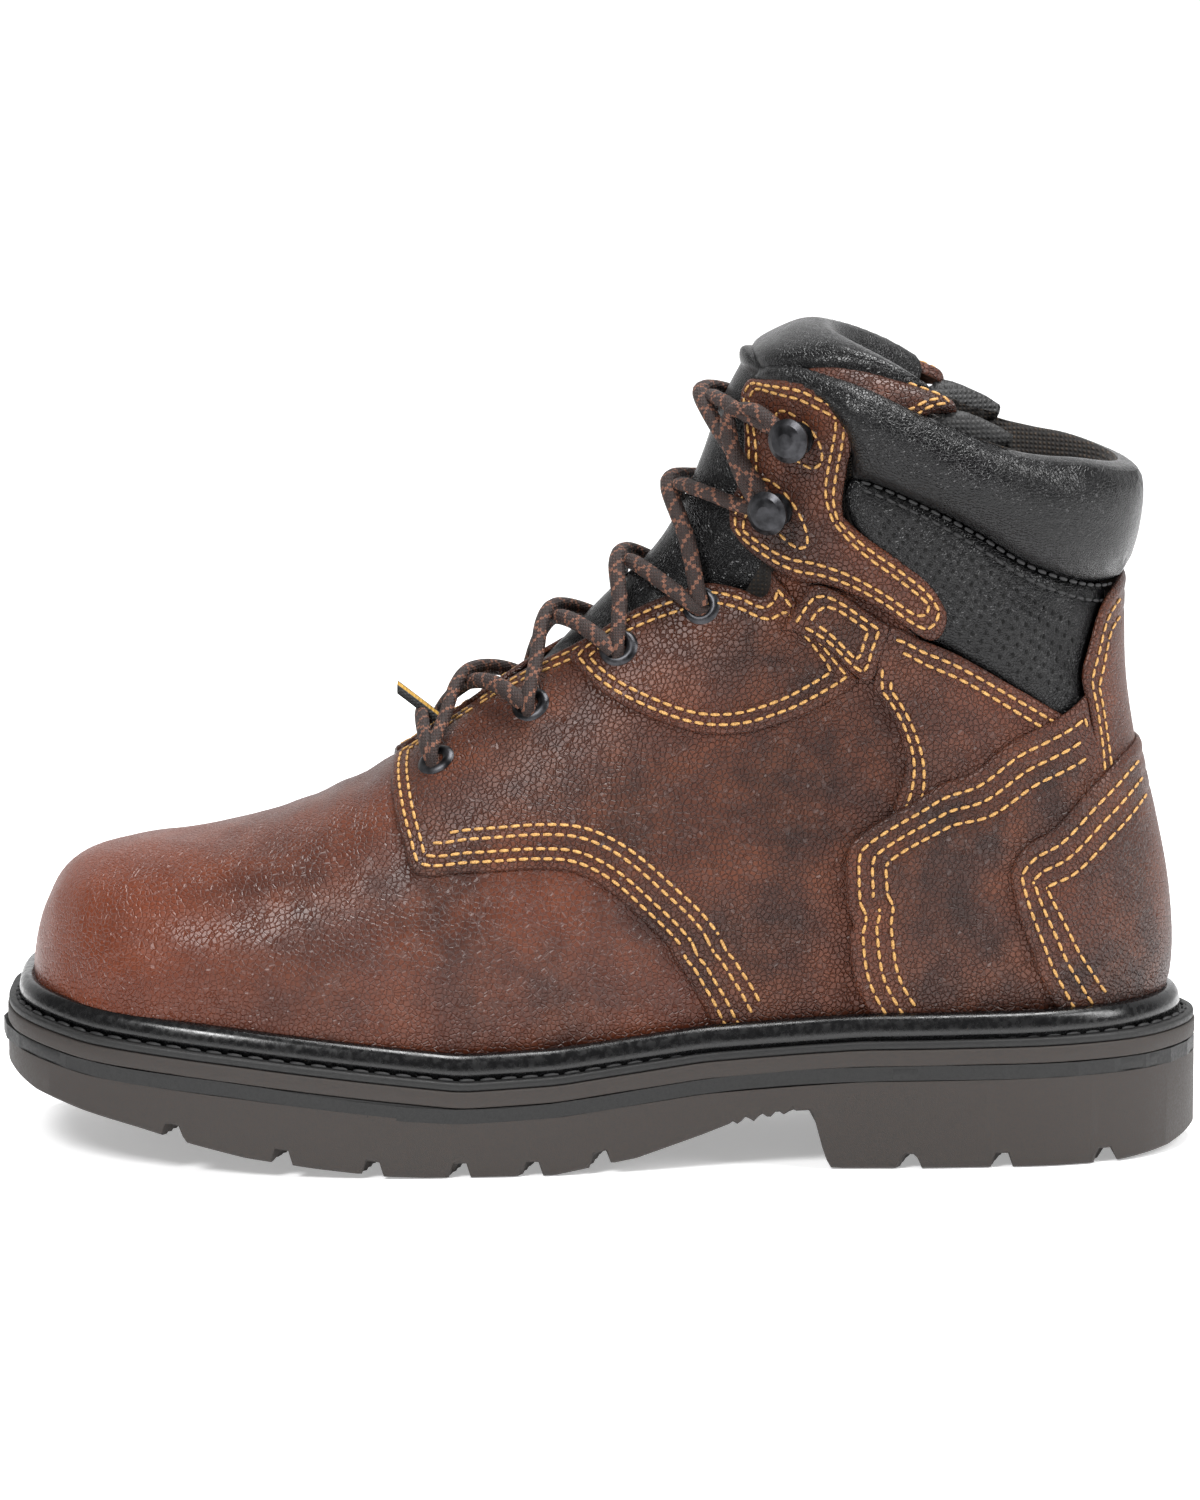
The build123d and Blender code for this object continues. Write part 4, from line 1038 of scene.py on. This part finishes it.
def build_tongue():
    """Padded tongue with its leather band, nylon wings, lining and the gussets that close it."""
    padded = [BLACK_LEATHER, MESH]
    half = tongue_edge(7.8, 17) + [(17.6, arc_at(17.6, 105)), (17.8, 150), (17.85, 180)]
    lower = cut_piece("tongue_skin", wrap_over(half, RIDGE), TONGUE_LAYER, padded, puff=tongue_height,
                      body=None, node="tongue", belly=round_over(3.5, 8))
    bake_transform(lower)
    cut_piece("tongue_top_skin", wrap_over(TONGUE_TOP, RIDGE), TONGUE_TOP_LAYER, padded, body="tongue",
              node="tongue_padding", puff=round_over(6.0, 8), belly=round_over(3.0, 8))
    for side, label in SIDES:
        cut_piece(f"tongue_band_{label}", on_side(TONGUE_BAND, side), TONGUE_BAND_LAYER, [LEATHER, FLESH],
                  rows=(2.0,), stitch_part=[(1, 6, 2.0), (6, 9, 2.0, 4.2)], puff=round_over(2.6, 10),
                  body="tongue", thread=GOLD_THREAD)
        cut_piece(f"tongue_wing_{label}", on_side(TONGUE_WING, side), TONGUE_WING_LAYER, [NYLON, MESH],
                  puff=round_over(3.4, 6), body="tongue", belly=round_over(2.0, 6))
    both_sides("gusset", GUSSET, GUSSET_LAYER, padded)
    half = tongue_edge(9, 18, 1.5) + [(18.5, 80), (18.9, 88), (18.99, 100), (18.99, 175)]
    cut_piece("tongue_lining_skin", wrap_over(half, RIDGE), TONGUE_LINING_LAYER, [MESH, MESH], body="tongue",
              node="tongue_lining", pitch=3.5,
              puff=lambda distance, t, arc: 0.6 * tongue_height(distance, t, arc))


# ------------------------------------------------------------------ laces and the tag on them
EYELETS = [(7.99, 152.5), (9.0, 153.5), (10.03, 155), (11.38, 154)]
HOOKS = [(14.44, 144), (16.39, 138)]
HOOK_RING_RADIUS = 7.8
HOOK_RING_TOP = 4.95
LACE_WIDE = 2.2
LACE_HIGH = 1.75
BRAID_SIDES = 12
SHAFT_MIDDLE = (0.05, 0.0, 0.07)    # the flat of the lace faces away from here


def smooth_path(points, step=1.0):
    """Evenly spaced points along a smooth curve through the given ones, in metres."""
    points = np.asarray(points, float)
    dense = []
    for i in range(len(points) - 1):
        before = points[max(i - 1, 0)]
        a, b = points[i], points[i + 1]
        after = points[min(i + 2, len(points) - 1)]
        for s in np.linspace(0, 1, 24, endpoint=False):
            dense.append(0.5 * (2 * a + (b - before) * s + (2 * before - 5 * a + 4 * b - after) * s**2
                                + (3 * a - before - 3 * b + after) * s**3))
    dense.append(points[-1])
    dense = np.array(dense)
    run = run_along(dense)
    even = np.linspace(0, run[-1], max(6, int(run[-1] / (step * MM))))
    return np.stack([np.interp(even, run, dense[:, k]) for k in range(3)], -1)


def cord(name, points, node=None):
    """Braided lace along a path, with a lighter fleck in the braid."""
    path = smooth_path(points)
    along = np.gradient(path, axis=0)
    along /= np.linalg.norm(along, axis=1, keepdims=True)
    up = path - SHAFT_MIDDLE
    across = np.cross(along, up)
    across /= np.linalg.norm(across, axis=1, keepdims=True) + 1e-9
    up = np.cross(across, along)
    turns = np.arange(BRAID_SIDES) * 2 * math.pi / BRAID_SIDES
    rings = (path[:, None, :] + (across[:, None, :] * (np.cos(turns) * LACE_WIDE)[None, :, None]
                                 + up[:, None, :] * (np.sin(turns) * LACE_HIGH)[None, :, None]) * MM)
    picks = [int((k + r) % 6 == 0 or (k - r) % 12 == 0)
             for r in range(len(path) - 1) for k in range(BRAID_SIDES)]
    faces = tube_faces(len(path), BRAID_SIDES)
    mesh_object(name, rings.reshape(-1, 3), faces, [LACE_BROWN, LACE_TAN], picks + [0, 0], node=node)


def lace_path(start, end, side, lift):
    """Lace from one fastening over the tongue to another on the other side."""
    points = []
    heights = (1.5, 6.6, 7.6, 7.4 + lift, 7.4 + lift, 7.6, 6.6, 1.5)
    shares = (0, 0.03, 0.22, 0.42, 0.58, 0.78, 0.97, 1.0)
    for share, height in zip(shares, heights):
        t = start[0] + (end[0] - start[0]) * share
        arc = start[1] + (360 - end[1] - start[1]) * share
        points.append(skin([t], [side * arc], [height])[0])
    return points


def build_laces():
    """Straight bar at the toe end, crossings above it and the pull round the hooks."""
    for side, label in SIDES:
        for k, (t, arc) in enumerate(HOOKS):
            ring_stitches(f"hook_ring_{k}_{label}", t, side * arc)
    cord("lace_bar_0", lace_path(EYELETS[0], EYELETS[0], 1, 0.6), "laces")
    stops = EYELETS + HOOKS
    for k, (low, high) in enumerate(zip(stops, stops[1:])):
        for side, label in ((1, "near"), (-1, "far")):
            cord(f"lace_cross_{k}_{label}", lace_path(low, high, side, 1.2 * side + 1.0))
    (t0, a0), (t1, a1) = HOOKS
    for side, label in SIDES:
        loop = [(t0, a0, 8.4), (t0 - 0.1, a0 + 8, 8.2), (t0 + 0.5, a0 + 15, 8.6), (t0 + 1.2, a0 + 17, 8.6),
                (t1 - 0.1, a1 + 14, 8.4), (t1, a1 + 5, 8.2)]
        cord(f"lace_loop_{label}", [skin([t], [side * a], [h])[0] for t, a, h in loop])


TAG_COLUMNS = 12
TAG_ROWS = 14
TAG_HALF = 1.1 * MM     # half the thickness of the folded webbing


def build_tag():
    """Small webbing tag on the lowest lace, with dark borders."""
    low, high = (np.array(corner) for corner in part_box("lace_tag"))
    centre = (low + high) / 2
    size = high - low
    points = []
    for face in (1, -1):
        for r in range(TAG_ROWS + 1):
            for c in range(TAG_COLUMNS + 1):
                u, v = c / TAG_COLUMNS - 0.5, r / TAG_ROWS - 0.5
                bow = 0.06 * size[1] * math.sin(math.pi * (v + 0.5)) * math.sin(math.pi * (u + 0.5))
                x = centre[0] + 0.85 * size[0] * v
                y = centre[1] + 0.95 * size[1] * u
                z = centre[2] - 0.85 * size[2] * v * 0.9 + bow * 0.2 + face * TAG_HALF
                points.append((x, y, z))
    wide = TAG_COLUMNS + 1
    cells = [(r, c) for r in range(TAG_ROWS) for c in range(TAG_COLUMNS)]
    top = [(r * wide + c, r * wide + c + 1, (r + 1) * wide + c + 1, (r + 1) * wide + c) for r, c in cells]
    faces = closed_shell(top, wide * (TAG_ROWS + 1))
    borders = (0, 1, TAG_COLUMNS - 2, TAG_COLUMNS - 1)
    picks = [int(c in borders) for r, c in cells] * 2
    picks += [1] * (len(faces) - len(picks))
    mesh_object("lace_tag_skin", points, faces, [TAG, TAG_DARK], picks, "lace_tag", "lace_tag")


# ------------------------------------------------------------------ carried-over pieces
NODE_MATERIALS = {      # the others are black rubber
    "steel_toe_cap": STEEL, "steel_shank": STEEL, "eyelets": GUNMETAL, "lace_hooks": GUNMETAL,
    "cork_filler": CORK, "insole_board": BOARD, "heel_stiffener": BOARD, "interlining_lateral": FELT,
    "interlining_medial": FELT, "footbed": MESH, "vamp_lining": MESH,
}


def dress_nodes():
    """Give every shown CAD piece a material."""
    for name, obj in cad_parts.items():
        if obj.hide_render:
            continue
        obj.data.materials.clear()
        obj.data.materials.append(NODE_MATERIALS.get(name, BLACK_RUBBER))


# ------------------------------------------------------------------ floor, light and camera
FLOOR_Z = -0.0002
FLOOR_RUN = [(-4.0, FLOOR_Z), (1.2, FLOOR_Z), (1.8, 0.12), (2.2, 0.5), (2.3, 3.5)]
FLOOR_GLOW = 0.35
WHITE = (1, 1, 1, 1)


def build_stage():
    """Pale floor that turns up into a backdrop."""
    mesh = bpy.data.meshes.new("floor")
    points = [(x, y, z) for y, z in FLOOR_RUN for x in (-5, 5)]
    faces = [(2 * k, 2 * k + 1, 2 * k + 3, 2 * k + 2) for k in range(len(FLOOR_RUN) - 1)]
    mesh.from_pydata(points, [], faces)
    mesh.polygons.foreach_set("use_smooth", [True] * len(mesh.polygons))
    floor = add_object("floor", mesh)
    material, tree, shader, place, node = new_material("floor")
    colour = mix(node, noise(node, place, 3), rgb(246, 246, 247), rgb(252, 252, 252))
    finish_surface(tree, shader, node, colour, 0.9, [])
    shader.inputs["Emission Color"].default_value = WHITE
    shader.inputs["Emission Strength"].default_value = FLOOR_GLOW
    mesh.materials.append(material)


TARGET = (-0.0004, 0.0, 0.102)
CAMERA_PLACE = (-0.0004, -1.9754, 0.4149)
CAMERA_LENS = 184.6
WORLD_LIGHT = 0.24      # strength of the surroundings; the camera sees them at 1


def aim(name, data, place):
    """New light or camera that looks at the boot."""
    obj = add_object(name, data)
    obj.location = place
    obj.rotation_euler = (Vector(TARGET) - obj.location).to_track_quat("-Z", "Y").to_euler()
    return obj


def lamp(name, place, size, power):
    """Soft rectangular light."""
    data = bpy.data.lights.new(name, "AREA")
    data.shape = "RECTANGLE"
    data.size, data.size_y = size
    data.energy = power
    aim(name, data, place)


def light_and_camera():
    """Studio softboxes, bright surroundings and the camera low on the lateral side."""
    world = bpy.data.worlds.new("studio")
    world.use_nodes = True
    tree = world.node_tree
    seen = tree.nodes.new("ShaderNodeLightPath").outputs["Is Camera Ray"]
    strength = tree.nodes.new("ShaderNodeMapRange")
    strength.inputs["To Min"].default_value = WORLD_LIGHT
    strength.inputs["To Max"].default_value = 1.0
    tree.links.new(seen, strength.inputs["Value"])
    tree.links.new(strength.outputs["Result"], tree.nodes["Background"].inputs["Strength"])
    tree.nodes["Background"].inputs["Color"].default_value = WHITE
    bpy.context.scene.world = world
    lamp("key", (-0.7, -1.3, 1.3), (0.55, 0.55), 30)
    lamp("top", (0.25, 0.1, 1.3), (0.7, 0.5), 20)
    lamp("rim", (0.9, -0.4, 0.7), (0.3, 0.8), 9)
    data = bpy.data.cameras.new("camera")
    data.sensor_fit = "VERTICAL"
    data.sensor_height = 36
    data.sensor_width = 36
    data.lens = CAMERA_LENS
    bpy.context.scene.camera = aim("camera", data, CAMERA_PLACE)
    bpy.context.scene.view_settings.view_transform = "Standard"


build_sole()
build_upper()
build_collar()
build_tongue()
build_laces()
build_tag()
dress_nodes()
build_stage()
light_and_camera()
